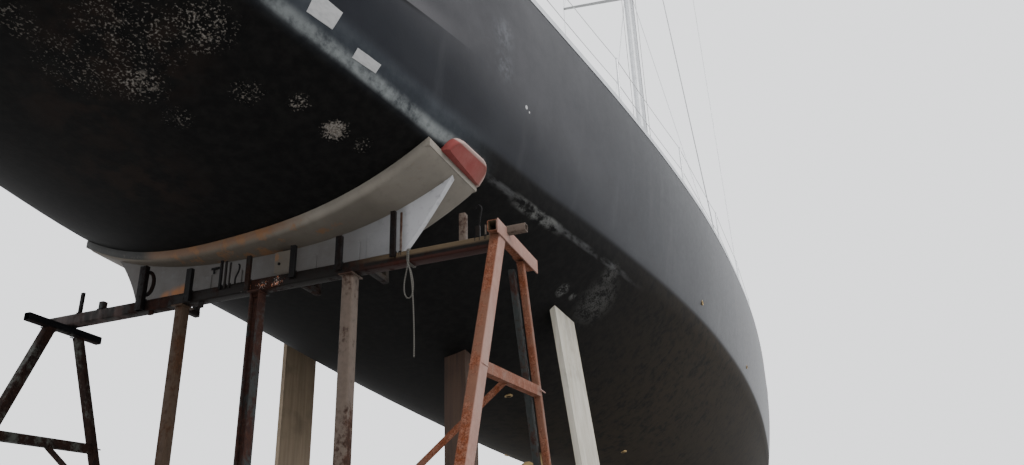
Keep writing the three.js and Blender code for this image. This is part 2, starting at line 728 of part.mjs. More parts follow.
// Main stays
const BACKSTAY_AHEAD = -2750;
const BACKSTAY_DROP = 300; // below the masthead
const TOP_SHARE = 0.64; // the mast's size there, as a share of full size
const stemX = BOW_X - STEM_SETBACK;
const STAYS = [
  {
    name: "forestay",
    foot: point(stemX, 0, deckAt(stemX - SADDLE_X) + 24),
    head: point(MAST_X + MAST_CHORD / 2 + 26, 0, FORESTAY_Z),
    radius: 20,
  },
  {
    name: "backstay",
    foot: point(SADDLE_X + BACKSTAY_AHEAD, 0, deckAt(BACKSTAY_AHEAD) + 12),
    head: point(MAST_X - (MAST_CHORD / 2) * TOP_SHARE - 20, 0, MAST_TOP - BACKSTAY_DROP),
    radius: 14,
  },
];
const CHAINPLATE_INSET = 190;
const CHAINPLATE_RISE = 70;
for (const { name, foot, head, radius } of STAYS) piece(name, rod(foot, head, radius, 8), steel);
for (const [side, name] of [[1, "port"], [-1, "starboard"]]) {
  const ahead = CHAINPLATE_X - SADDLE_X;
  const half = hullAt(ahead).sheerHalf - CHAINPLATE_INSET;
  const foot = point(CHAINPLATE_X, side * half, deckAt(ahead, half) + CHAINPLATE_RISE);
  const tips = SPREADERS.map(({ z, reach, sweep }) =>
    point(MAST_X - sweep, side * reach, z + TIP_RISE));
  const head = point(MAST_X, side * (MAST_WIDTH / 2 + 14), HOUNDS_Z);
  const places = [foot, ...tips, head];
  const runs = places.slice(1).map((p, i) => rod(places[i], p, STAY_RADIUS, 6));
  const knots = tips.map((p) => bend(p, STAY_RADIUS + 1));
  piece(
    "shroud_" + name,
    cut(
      fuse(...runs, ...knots, block(110, 24, 240, foot.x, foot.y, foot.z - CHAINPLATE_RISE)),
      hullAbove,
    ),
    steel,
  );
}

// Guard rails: stanchions with two wires a side, a pulpit at the bow and a pushpit at the stern
const RAIL_HEIGHT = 680;
const RAIL_INSET = 70;
const RAIL_LEVELS = [0.5, 0.97];
const STANCHION_FIRST = -1300;
const STANCHION_LAST = 17900;
const STANCHION_COUNT = 10;
const railFoot = (ahead, side) => {
  const half = hullAt(ahead).sheerHalf - RAIL_INSET;
  return point(SADDLE_X + ahead, side * half, deckAt(ahead, half));
};
const raised = (p, share) => p.clone().add(point(0, 0, RAIL_HEIGHT * share));
// A bent tube through some places.
const bentTube = (places, radius) => [
  ...places.slice(1).map((p, i) => rod(places[i], p, radius, 6)),
  ...places.slice(1, -1).map((p) => bend(p, radius * 1.05)),
];
for (const [side, name] of [[1, "port"], [-1, "starboard"]]) {
  const places = Array.from({ length: STANCHION_COUNT }, (_, i) =>
    STANCHION_FIRST + ((STANCHION_LAST - STANCHION_FIRST) * i) / (STANCHION_COUNT - 1));
  const posts = places.map((ahead) => {
    const foot = railFoot(ahead, side);
    return rod(foot.clone().add(point(0, 0, -20)), raised(foot, 1), 13, 6);
  });
  const wires = RAIL_LEVELS.flatMap((level) =>
    places.slice(1).map((ahead, i) =>
      rod(raised(railFoot(places[i], side), level), raised(railFoot(ahead, side), level), 5, 4)));
  piece("guardrail_" + name, cut(fuse(...posts, ...wires), hullAbove), steel);
}
const railTube = (aheads) => {
  const one = aheads.map((ahead) => raised(railFoot(ahead, 1), 1));
  const other = aheads.toReversed().map((ahead) => raised(railFoot(ahead, -1), 1));
  return bentTube([...one, ...other], 15);
};
const railSides = (aheads) =>
  aheads.slice(1).flatMap((ahead, i) =>
    [1, -1].map((side) =>
      rod(raised(railFoot(aheads[i], side), 0.5), raised(railFoot(ahead, side), 0.5), 12, 6)));
const railLegs = (aheads) =>
  aheads.flatMap((ahead) =>
    [1, -1].map((side) => {
      const foot = railFoot(ahead, side);
      return rod(foot.clone().add(point(0, 0, -20)), raised(foot, 1), 14, 6);
    }));
const PULPIT = [18500, 19700, 20650];
const PUSHPIT = [-1800, -2300, -2700];
for (const [name, places] of [["pulpit", PULPIT], ["pushpit", PUSHPIT]]) {
  piece(name, cut(fuse(...railTube(places), ...railSides(places), ...railLegs(places)), hullAbove), steel);
}

// Cradle: a moulded band under the hull's run. Its places are measured from the band's aft edge.
const underHull = (ahead, y) => {
  const aft = bottomAt(0, y);
  return aft + ((bottomAt(BAND_LENGTH, y) - aft) * ahead) / BAND_LENGTH;
};
// The space between two heights over the hull's bottom, along and across the band.
const BAND_STEPS = 16;
function bandLayer(aft, fore, below, above, extraSteps = 0) {
  const rings = Array.from({ length: BAND_STEPS + 2 * extraSteps + 1 }, (_, i) => {
    const y = BAND_HALF * ((2 * (i - extraSteps)) / BAND_STEPS - 1);
    const underside = [...new Set([fore, BAND_LENGTH, 0, aft])].map((ahead) => [ahead, -below]);
    return [[aft, above], [fore, above], ...underside].map(([ahead, up]) =>
      point(-y, ahead, underHull(ahead, y) + up));
  });
  const geometry = loft(rings);
  return geometry.rotateZ(-Math.PI / 2);
}
const inCradle = (geometry) => geometry.clone().translate(-SADDLE_X, 0, 0);
const hullOverCradle = inCradle(hullBelow);
piece("saddle_band", cut(bandLayer(0, BAND_LENGTH, BAND_THICK, 60), hullOverCradle), moulding, cradle);
const overBand = bandLayer(-300, BAND_LENGTH + 300, BAND_THICK + TOUCH, 1500, 2);

// A flat outline with round corners.
function roundedShape(width, height, radius) {
  const [w, h] = [width / 2, height / 2];
  const shape = new THREE.Shape();
  shape.moveTo(-w + radius, -h);
  shape.lineTo(w - radius, -h);
  shape.absarc(w - radius, -h + radius, radius, -Math.PI / 2, 0);
  shape.lineTo(w, h - radius);
  shape.absarc(w - radius, h - radius, radius, 0, Math.PI / 2);
  shape.lineTo(-w + radius, h);
  shape.absarc(-w + radius, h - radius, radius, Math.PI / 2, Math.PI);
  shape.lineTo(-w, -h + radius);
  shape.absarc(-w + radius, -h + radius, radius, Math.PI, 1.5 * Math.PI);
  return shape;
}

// Rubber pad on the band's starboard end: a slab that lies up the bilge, round at its outer corners,
// with its foot trimmed level with the band's upper edge
const PAD = { length: 510, reach: 320, thick: 100, corner: 125, forward: 80, foot: -18 };
const PAD_LEAN = THREE.MathUtils.degToRad(-52);
const padPlace = BAND_LENGTH / 2 + PAD.forward;
const padHeel = point(padPlace, -BAND_HALF, bottomAt(BAND_LENGTH / 2, BAND_HALF) - 10);
const bandEnd = bandLayer(-100, BAND_LENGTH + 100, BAND_THICK + 200, 45).scale(1, 1 + TOUCH / BAND_HALF, 1);
const pad = new THREE.ExtrudeGeometry(roundedShape(PAD.length, PAD.reach, PAD.corner), {
  depth: PAD.thick, bevelEnabled: false, curveSegments: 5,
});
pad.translate(0, 0, -PAD.thick / 2).rotateX(PAD_LEAN).translate(padHeel.x, padHeel.y, padHeel.z);
const bandRise = underHull(0, BAND_HALF) - underHull(BAND_LENGTH, BAND_HALF);
const underPad = new THREE.BoxGeometry(900, 800, 400).translate(0, 0, PAD.foot - 200);
underPad.rotateY(Math.atan(bandRise / BAND_LENGTH));
underPad.translate(BAND_LENGTH / 2, -BAND_HALF, underHull(BAND_LENGTH / 2, BAND_HALF));
const overPad = inCradle(bareHull).translate(0, -TOUCH, 0);
piece("pad_starboard", cut(pad, bandEnd, hullOverCradle, overPad, underPad), rubber, cradle);

// The web under the band, the cross beam before it, and all that stands below lie askew with the beam.
const inTrestle = (geometry) => geometry.clone().rotateZ(-CRADLE_SKEW);
const overWeb = inTrestle(overBand);
const WEB = { x: 190, thick: 50, foot: 3900, flange: 40, reach: 330 };
// The web's ends flare out and up. Each: offset at the foot, where the curve bends, and its top.
const FLARE_PORT = { foot: 1030, bend: [1120, 4180], top: [1420, 4500] };
const FLARE_STARBOARD = { foot: -1235, bend: [-1400, 4070], top: [-1690, 4520] };
const webOutline = new THREE.Shape();
webOutline.moveTo(FLARE_STARBOARD.foot, WEB.foot);
webOutline.lineTo(FLARE_PORT.foot, WEB.foot);
webOutline.quadraticCurveTo(...FLARE_PORT.bend, ...FLARE_PORT.top);
webOutline.lineTo(...FLARE_STARBOARD.top);
webOutline.quadraticCurveTo(...FLARE_STARBOARD.bend, FLARE_STARBOARD.foot, WEB.foot);
// An outline drawn across the boat and up, made as thick as asked toward the bow.
const standing = (outline, thick, x) =>
  new THREE.ExtrudeGeometry(outline, { depth: thick, bevelEnabled: false, curveSegments: 8 })
    .rotateX(Math.PI / 2)
    .rotateZ(Math.PI / 2)
    .translate(x, 0, 0);
const RIBS = [780, -120, -1020];
const RIB_THICK = 36;
const RIB_TOP = 4600;
const ribOutline = [
  [WEB.x + WEB.thick - 5, WEB.foot],
  [WEB.x + WEB.thick + 60, WEB.foot],
  [WEB.x + WEB.reach, 4150],
  [WEB.x + WEB.reach, RIB_TOP],
  [WEB.x + WEB.thick - 5, RIB_TOP],
];
const ribs = RIBS.map((y) => plate(ribOutline, RIB_THICK, y));
const webLength = FLARE_PORT.foot - FLARE_STARBOARD.foot;
const webMiddle = (FLARE_PORT.foot + FLARE_STARBOARD.foot) / 2;
piece(
  "saddle_web",
  cut(
    fuse(
      standing(webOutline, WEB.thick, WEB.x),
      block(150, webLength, WEB.flange, WEB.x + 75, webMiddle, WEB.foot + WEB.flange / 2),
      ...ribs,
    ),
    overWeb,
  ),
  moulding,
  trestleGroup,
);

// Cross beam with the short uprights welded to it. Each upright: offset, side, top.
const BEAM_X = -45;
const BEAM_PORT = 1610;
const BEAM_STARBOARD = -2220;
const beamMiddle = (BEAM_PORT + BEAM_STARBOARD) / 2;
const UPRIGHTS = [
  [1300, 28, 3965], [1093, 45, 3860], [690, 84, 4060], [292, 38, 3965], [-5, 30, 3985], [-60, 22, 3960],
  [-228, 30, 3930], [-590, 34, 3985], [-950, 40, 3985], [-1350, 30, 4090], [-1830, 46, 3990],
];
const ARMS = [-1100, -560, 500]; // they carry the web's foot
const ARM = { side: 44, end: WEB.x + 80 };
const armTop = BEAM_TOP - 4;
const armHead = WEB.foot - TOUCH;
const beamZ = BEAM_TOP - BEAM_DEPTH / 2;
const beamAft = BEAM_X - BEAM_WIDTH / 2 + 5;
const uprightFoot = BEAM_TOP - 20;
piece(
  "cross_beam",
  cut(
    fuse(
      block(BEAM_WIDTH, BEAM_PORT - BEAM_STARBOARD, BEAM_DEPTH, BEAM_X, beamMiddle, beamZ),
      ...UPRIGHTS.map(([y, side, top]) =>
        block(side, side, top - uprightFoot, beamAft + side / 2, y, (top + uprightFoot) / 2)),
      ...ARMS.flatMap((y) => [
        block(ARM.end - BEAM_X, ARM.side, ARM.side, (BEAM_X + ARM.end) / 2, y, armTop - ARM.side / 2),
        block(ARM.side, ARM.side, armHead - armTop + ARM.side, ARM.end - ARM.side / 2, y,
          (armHead + armTop - ARM.side) / 2),
      ]),
    ),
    overWeb,
  ),
  rust,
  trestleGroup,
);

// Plain posts below the beam. Each row: offset, side.
const POSTS = [[360, 74], [-282, 78], [-1010, 86]];
const PLATE_THICK = 12;
const beamUnder = BEAM_TOP - BEAM_DEPTH - TOUCH;
POSTS.forEach(([y, side], i) => {
  piece(
    "post_" + (i + 1),
    fuse(
      block(side, side, beamUnder - 6, BEAM_X, y, 6 + (beamUnder - 6) / 2),
      block(280, 280, PLATE_THICK, BEAM_X, y, PLATE_THICK / 2),
    ),
    rust,
    trestleGroup,
  );
});

// Trestles at the beam's ends, each with two splayed legs and a brace down to the nearest post.
const TRESTLES = [
  {
    name: "trestle_port", y: 1400, capZ: beamUnder - 30, capFrom: -420, capTo: 234,
    legWidth: 70, legDepth: 70,
    headAft: -210, headFore: 30, footAft: -1570, footFore: 1405, railAft: 2825, railFore: 2865,
    braceTo: POSTS[0], inward: -1,
  },
  {
    name: "trestle_starboard", y: -2090, capZ: BEAM_TOP - 10, capFrom: -225, capTo: 480,
    legWidth: 92, legDepth: 72,
    headAft: -115, headFore: 260, footAft: -1520, footFore: 1310, railAft: 2850, railFore: 2925,
    braceTo: POSTS[2], inward: 1,
  },
];
const CAP = { width: 56, depth: 58 };
const BRACE_FOOT = 2040;
const SILL = { overhang: 60, width: 90, depth: 60 };
const RAIL = { width: 50, depth: 66 };
const BRACE_SIDE = 42;
for (const t of TRESTLES) {
  const aft = [point(t.headAft, t.y, t.capZ), point(t.footAft, t.y, SILL.depth)];
  const fore = [point(t.headFore, t.y, t.capZ), point(t.footFore, t.y, SILL.depth)];
  const along = ([head, foot], z) => head.clone().lerp(foot, (head.z - z) / (head.z - foot.z));
  const railZ = (t.railAft + t.railFore) / 2;
  const [postY, postSide] = t.braceTo;
  const shapes = [
    block(t.capTo - t.capFrom, CAP.width, CAP.depth, (t.capFrom + t.capTo) / 2, t.y, t.capZ),
    bar(...aft, t.legDepth, t.legWidth),
    bar(...fore, t.legDepth, t.legWidth * 0.7),
    bar(along(aft, t.railAft), along(fore, t.railFore), RAIL.width, RAIL.depth),
    bar(
      point(BEAM_X, t.y, railZ - 20),
      point(BEAM_X, postY - t.inward * (postSide / 2 + TOUCH - 60), BRACE_FOOT - 50),
      BRACE_SIDE, BRACE_SIDE, point(1, 0, 0),
    ),
    block(t.footFore - t.footAft + 2 * SILL.overhang, SILL.width, SILL.depth,
      (t.footFore + t.footAft) / 2, t.y, SILL.depth / 2),
  ];
  const beamSpace = block(BEAM_WIDTH + 2 * TOUCH, 8000, BEAM_DEPTH + 2 * TOUCH, BEAM_X, 0, beamZ);
  const postSpace = block(postSide + 2 * TOUCH, postSide + 2 * TOUCH, 8000, BEAM_X, postY, 0);
  const beyondPost = block(1000, 1000, 8000, BEAM_X, postY + t.inward * (500 - postSide / 2), 0);
  piece(t.name, cut(fuse(...shapes), beamSpace, postSpace, beyondPost), rust, trestleGroup);
}

// A light rope hitched round the beam: it hangs in a bight and ends in a bare tail.
const ROPE = { radius: 4.5, sides: 8, steps: 70 };
const ROPE_ROUTE = [
  [-97, -1462, 3802], [-98, -1461, 3760], [-98, -1458, 3700], [-97, -1448, 3640], [-96, -1438, 3590],
  [-95, -1434, 3545], [-95, -1438, 3502], [-95, -1452, 3473], [-96, -1470, 3464], [-98, -1488, 3474],
  [-102, -1500, 3505], [-106, -1503, 3550], [-109, -1497, 3600], [-111, -1485, 3646], [-115, -1474, 3676],
  [-124, -1471, 3692], [-134, -1478, 3680], [-137, -1490, 3650], [-134, -1500, 3600], [-128, -1507, 3530],
  [-122, -1511, 3450], [-117, -1514, 3360], [-114, -1517, 3260], [-112, -1519, 3160], [-111, -1519, 3070],
].map((p) => point(...p));
const ropeSection = new THREE.Shape();
for (let i = 0; i < ROPE.sides; i += 1) {
  const turn = (i * 2 * Math.PI) / ROPE.sides;
  ropeSection[i ? "lineTo" : "moveTo"](ROPE.radius * Math.cos(turn), ROPE.radius * Math.sin(turn));
}
piece(
  "hanging_rope",
  new THREE.ExtrudeGeometry(ropeSection, {
    steps: ROPE.steps, bevelEnabled: false, extrudePath: new THREE.CatmullRomCurve3(ROPE_ROUTE),
  }),
  rope,
  trestleGroup,
);

// Timber: a post and two shores under the hull, keel blocks, and a stand below the bow
const timberPieces = [
  ["centre_post", block(220, 220, 4200, 2420, -500, 2100)],
  ["shore_board_port", block(480, 45, 4800, 2650, 1600, 2400)],
  [
    "shore_plank_starboard",
    cut(
      bar(point(2915, -1870, -400), point(2725, -1360, 4600), 55, 440),
      block(3000, 3000, 1000, 2900, -1800, -500),
    ),
  ],
];
for (const [name, shape] of timberPieces) piece(name, cut(shape, hullOverCradle), timber, cradle);

const bulbUnder = bulbFoot - TOUCH;
for (const [ahead, name] of [[-1050, "aft"], [1050, "fore"]]) {
  piece("keel_block_" + name, block(320, 1100, bulbUnder, KEEL_X + ahead, 0, bulbUnder / 2), timber);
}

// Bow stand: a chock on two braced legs
const BOW_STAND = { x: 14200, spread: 560, chockFoot: 3290, chockHeight: 620, legSide: 160 };
const chock = block(
  300, 1700, BOW_STAND.chockHeight,
  BOW_STAND.x, 0, BOW_STAND.chockFoot + BOW_STAND.chockHeight / 2,
);
piece("bow_chock", cut(chock, hullOverCradle), timber, cradle);
for (const [side, name] of [[1, "port"], [-1, "starboard"]]) {
  const { x, spread, chockFoot, legSide } = BOW_STAND;
  const top = chockFoot - TOUCH;
  piece(
    "bow_stand_" + name,
    fuse(
      block(legSide, legSide, top, x, side * spread, top / 2),
      bar(point(x, side * spread, 2500), point(x, side * 1500, 60), 80, 80, point(1, 0, 0)),
      ...[-1100, 1100].map((reach) =>
        bar(point(x, side * spread, 2700), point(x + reach, side * spread, 60), 80, 80)),
      block(2500, 120, 80, x, side * spread, 40),
      block(140, 1100, 80, x, side * 1060, 40),
    ),
    timber,
    cradle,
  );
}

export default yacht;
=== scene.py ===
# %% [markdown]
# A large racing sloop, laid up ashore
#
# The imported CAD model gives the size, the joints and the main solids. This script dresses it:
# a finer hull, weathered paint, a rusty cradle, deck gear and the lighter rigging. Everything is
# in metres, with +X to the bow, +Y to port and +Z up.

import math

import bmesh
import bpy
import numpy as np
from mathutils import Matrix, Vector


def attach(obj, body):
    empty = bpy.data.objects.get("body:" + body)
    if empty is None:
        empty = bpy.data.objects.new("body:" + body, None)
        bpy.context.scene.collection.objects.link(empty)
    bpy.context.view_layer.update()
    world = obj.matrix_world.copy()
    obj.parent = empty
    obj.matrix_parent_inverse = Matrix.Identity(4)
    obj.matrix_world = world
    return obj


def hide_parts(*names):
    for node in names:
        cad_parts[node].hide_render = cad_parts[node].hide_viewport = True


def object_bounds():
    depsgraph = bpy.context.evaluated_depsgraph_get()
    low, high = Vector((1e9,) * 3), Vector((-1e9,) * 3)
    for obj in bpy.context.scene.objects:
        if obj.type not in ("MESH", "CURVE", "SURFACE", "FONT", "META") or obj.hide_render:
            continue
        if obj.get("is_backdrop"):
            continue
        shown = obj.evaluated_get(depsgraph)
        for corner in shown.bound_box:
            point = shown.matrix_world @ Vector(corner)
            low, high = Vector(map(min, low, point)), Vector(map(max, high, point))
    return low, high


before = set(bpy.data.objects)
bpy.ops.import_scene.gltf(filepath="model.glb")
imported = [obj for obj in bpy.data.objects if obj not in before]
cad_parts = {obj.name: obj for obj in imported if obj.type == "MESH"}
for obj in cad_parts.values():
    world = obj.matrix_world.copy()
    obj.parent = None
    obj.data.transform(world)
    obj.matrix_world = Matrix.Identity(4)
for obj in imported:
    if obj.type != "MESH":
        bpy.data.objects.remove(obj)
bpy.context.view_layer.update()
HULL_BODY = "laid_up_yacht"

# %% [markdown]
# The camera stands at eye height beside the stern and looks up under the hull. Its place and
# turn were solved from the straight edges of the cradle, so here it is written as numbers. Blender
# wants a matrix whose columns are right, up and back, which is safer than three Euler angles.

# %% Camera
CAMERA_PLACE = Vector((-12.956, -4.164, 1.609))
CAMERA_YAW = math.radians(25.602)
CAMERA_PITCH = math.radians(23.058)
CAMERA_ROLL = math.radians(-2.011)
LENS = 29.211
SHIFT = 0.0293


def camera_matrix(place, yaw, pitch, roll):
    ahead = Vector((math.cos(pitch) * math.cos(yaw), math.cos(pitch) * math.sin(yaw), math.sin(pitch)))
    level = Vector((math.sin(yaw), -math.cos(yaw), 0))
    square = level.cross(ahead)
    right = level * math.cos(roll) + square * math.sin(roll)
    up = square * math.cos(roll) - level * math.sin(roll)
    turn = Matrix((right, up, -ahead)).transposed()
    return Matrix.Translation(place) @ turn.to_4x4()


camera_data = bpy.data.cameras.new("camera")
camera_data.lens = LENS
camera_data.shift_y = SHIFT
camera_data.clip_start = 0.1
camera_data.clip_end = 500
camera = bpy.data.objects.new("camera", camera_data)
camera.matrix_world = camera_matrix(CAMERA_PLACE, CAMERA_YAW, CAMERA_PITCH, CAMERA_ROLL)
bpy.context.scene.collection.objects.link(camera)
bpy.context.scene.camera = camera
print("camera at", tuple(CAMERA_PLACE))

# %% [markdown]
# One rope hangs from the cradle's cross beam: a hitch, a bight and a bare tail. It is a curve of
# one open spline, because the curve is then its own centreline and its length is easy to measure.
# The cradle's steel lies a little askew under the hull, so its places are turned by that angle.

# %% The hanging rope
STERN_X, SADDLE_X, BOW_X = -12.5, -8.9, 12.5
SKEW = math.radians(5.7)


def askew(x, y, z):
    """A place in the cradle steel's own frame, given in the yacht's frame."""
    return (
        SADDLE_X + x * math.cos(SKEW) - y * math.sin(SKEW),
        x * math.sin(SKEW) + y * math.cos(SKEW),
        z,
    )


ROPE_DIAMETER = 0.009
ROPE_ROUTE = [
    # millimetres in the steel's own frame: ahead, to port, up
    (-97, -1462, 3802), (-98, -1461, 3760), (-98, -1458, 3700), (-97, -1448, 3640), (-96, -1438, 3590),
    (-95, -1434, 3545), (-95, -1438, 3502), (-95, -1452, 3473), (-96, -1470, 3464), (-98, -1488, 3474),
    (-102, -1500, 3505), (-106, -1503, 3550), (-109, -1497, 3600), (-111, -1485, 3646), (-115, -1474, 3676),
    (-124, -1471, 3692), (-134, -1478, 3680), (-137, -1490, 3650), (-134, -1500, 3600), (-128, -1507, 3530),
    (-122, -1511, 3450), (-117, -1514, 3360), (-114, -1517, 3260), (-112, -1519, 3160), (-111, -1519, 3070),
]


def smooth_path(places, steps=6):
    """Catmull-Rom curve through places."""
    places = np.array(places, float)
    ends = np.vstack([2 * places[0] - places[1], places, 2 * places[-1] - places[-2]])
    out = []
    for i in range(len(places) - 1):
        a, b, c, d = ends[i : i + 4]
        for t in np.arange(steps) / steps:
            bend = (2 * a - 5 * b + 4 * c - d) * t**2 + (3 * b - a - 3 * c + d) * t**3
            out.append(0.5 * (2 * b + (c - a) * t + bend))
    return np.vstack([out, places[-1:]])


rope_line = smooth_path([askew(x / 1000, y / 1000, z / 1000) for x, y, z in ROPE_ROUTE])
rope_length = float(np.linalg.norm(np.diff(rope_line, axis=0), axis=1).sum())
rope_curve = bpy.data.curves.new("hanging_rope_laid", "CURVE")
rope_curve.dimensions = "3D"
# Blender's box round a curve grows by each point's own radius, so the points are thin and the
# bevel makes up for it.
POINT_RADIUS = 0.01
rope_curve.bevel_depth = ROPE_DIAMETER / 2 / POINT_RADIUS
rope_curve.bevel_resolution = 3
rope_curve.use_fill_caps = True
rope_spline = rope_curve.splines.new("POLY")
rope_spline.points.add(len(rope_line) - 1)
rope_spline.points.foreach_set("co", np.column_stack([rope_line, np.ones(len(rope_line))]).ravel())
rope_spline.points.foreach_set("radius", [POINT_RADIUS] * len(rope_line))
rope = bpy.data.objects.new("hanging_rope_laid", rope_curve)
bpy.context.scene.collection.objects.link(rope)
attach(rope, HULL_BODY)
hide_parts("hanging_rope")
print("rope", round(rope_length, 3), "m")

# %% [markdown]
# Materials are worked out with nodes. Adding every Math node by hand is slow to read, so a small
# class wraps a socket: ordinary sums on it add the nodes. A second class holds one material,
# and its `node` method makes any other node from a type, its settings and what its sockets get.

# %% Shader maths
class Signal:
    """A socket whose value changes over the surface. Sums on it add Math nodes."""

    def __init__(self, finish, socket):
        self.finish = finish
        self.socket = socket

    def sum(self, operation, other, swapped=False, clamp=False):
        first, second = (other, self) if swapped else (self, other)
        settings = {"operation": operation, "use_clamp": clamp}
        return self.finish.node("ShaderNodeMath", settings, {0: first, 1: second})

    def __add__(self, other):
        return self.sum("ADD", other)

    __radd__ = __add__

    def __sub__(self, other):
        return self.sum("SUBTRACT", other)

    def __rsub__(self, other):
        return self.sum("SUBTRACT", other, swapped=True)

    def __mul__(self, other):
        return self.sum("MULTIPLY", other)

    __rmul__ = __mul__

    def most(self, other):
        return self.sum("MAXIMUM", other)

    def held(self):
        """The value kept between 0 and 1."""
        return self.sum("MULTIPLY", 1, clamp=True)

    def step(self, low, high):
        """Rises smoothly from 0 at low to 1 at high. With low above high it falls."""
        top, foot = (1, 0) if low < high else (0, 1)
        return self.finish.node(
            "ShaderNodeMapRange", {"interpolation_type": "SMOOTHSTEP"},
            {0: self, 1: min(low, high), 2: max(low, high), 3: foot, 4: top},
        )


class Finish:
    """One procedural material: what varies is passed to `surface` once it is worked out."""

    def __init__(self, name, roughness=0.6, metallic=0.0, coat=0.0, specular=0.5):
        self.material = bpy.data.materials.new(name)
        self.material.use_nodes = True
        self.tree = self.material.node_tree
        self.tree.nodes.clear()
        self.shader = self.tree.nodes.new("ShaderNodeBsdfPrincipled")
        self.shader.inputs["Roughness"].default_value = roughness
        self.shader.inputs["Metallic"].default_value = metallic
        self.shader.inputs["Coat Weight"].default_value = coat
        self.shader.inputs["Specular IOR Level"].default_value = specular
        output = self.tree.nodes.new("ShaderNodeOutputMaterial")
        self.tree.links.new(self.shader.outputs[0], output.inputs[0])
        self.place = self.node("ShaderNodeTexCoord", {}, {}, "Object")

    def node(self, kind, settings, sockets, output=0):
        made = self.tree.nodes.new(kind)
        for key, value in settings.items():
            if key == "stops":
                ramp = made.color_ramp
                while len(ramp.elements) < len(value):
                    ramp.elements.new(1.0)
                for element, (position, level) in zip(ramp.elements, value):
                    element.position = position
                    element.color = (level, level, level, 1)
            else:
                setattr(made, key, value)
        for key, value in sockets.items():
            if isinstance(value, Signal):
                self.tree.links.new(value.socket, made.inputs[key])
            else:
                made.inputs[key].default_value = value
        return Signal(self, made.outputs[output])

    def axes(self):
        parts = self.tree.nodes.new("ShaderNodeSeparateXYZ")
        self.tree.links.new(self.place.socket, parts.inputs[0])
        return [Signal(self, parts.outputs[i]) for i in range(3)]

    def stretched(self, along):
        """The place with each axis multiplied, so that a pattern is drawn out along the small ones."""
        return self.node("ShaderNodeVectorMath", {"operation": "MULTIPLY"}, {0: self.place, 1: along})

    def noise(self, scale, detail=4.0, rough=0.55, along=None):
        vector = self.stretched(along) if along else self.place
        sockets = {"Vector": vector, "Scale": scale, "Detail": detail, "Roughness": rough}
        return self.node("ShaderNodeTexNoise", {}, sockets)

    def cells(self, scale, along=None):
        vector = self.stretched(along) if along else self.place
        return self.node("ShaderNodeTexVoronoi", {}, {"Vector": vector, "Scale": scale}, "Distance")

    def near(self, centre, outer, inner=0.0):
        """1 within inner metres of a place, and 0 beyond outer."""
        away = self.node("ShaderNodeVectorMath", {"operation": "DISTANCE"}, {0: self.place, 1: centre},
                         "Value")
        return away.step(outer, inner)

    def mix(self, share, first, second):
        first, second = [c if isinstance(c, Signal) else (*c, 1) for c in (first, second)]
        return self.node(
            "ShaderNodeMix", {"data_type": "RGBA"}, {0: share, 6: first, 7: second}, 2,
        )

    def surface(self, colour=None, roughness=None, height=None, depth=0.001, metallic=None):
        if colour is not None:
            self.tree.links.new(colour.socket, self.shader.inputs["Base Color"])
        if roughness is not None:
            self.tree.links.new(roughness.socket, self.shader.inputs["Roughness"])
        if metallic is not None:
            self.tree.links.new(metallic.socket, self.shader.inputs["Metallic"])
        if height is not None:
            bump = self.node("ShaderNodeBump", {}, {"Strength": 1.0, "Distance": depth, "Height": height})
            self.tree.links.new(bump.socket, self.shader.inputs["Normal"])
        return self.material


print("shader helpers ready")

# %% [markdown]
# The hull carries two paints. The topside is a dull dark blue enamel with a faint sheen, and
# dusty where rain has run down; a paler painted sheen lies high on the quarter, with a painted
# shadow and highlight along a crease there. Under the rounded bilge it is black bottom paint,
# rubbed, blistered and dusty, and the bright lower edge of the rubbed band aft of the saddle is
# partly a painted highlight. The bilge isn't level, so its height is read from a colour ramp whose
# stops are the hull's own stations. The marks that the saddle and the slings left are small spots
# and a streak.

# %% Hull paint
BILGE_LINE = [
    (-3.6, 4.94), (-2.4, 4.805), (-1.2, 4.68), (0, 4.566), (1.4, 4.56), (2.8, 4.59), (4.3, 4.62),
    (6.0, 4.64), (8.2, 4.65), (13.0, 4.65), (18.0, 4.69), (19.7, 4.80), (20.7, 5.30), (21.4, 6.50),
]


# A ramp holds values from 0 to 1, so heights go in as shares of this span over this foot.
RAMP_FOOT, RAMP_SPAN = 4.0, 3


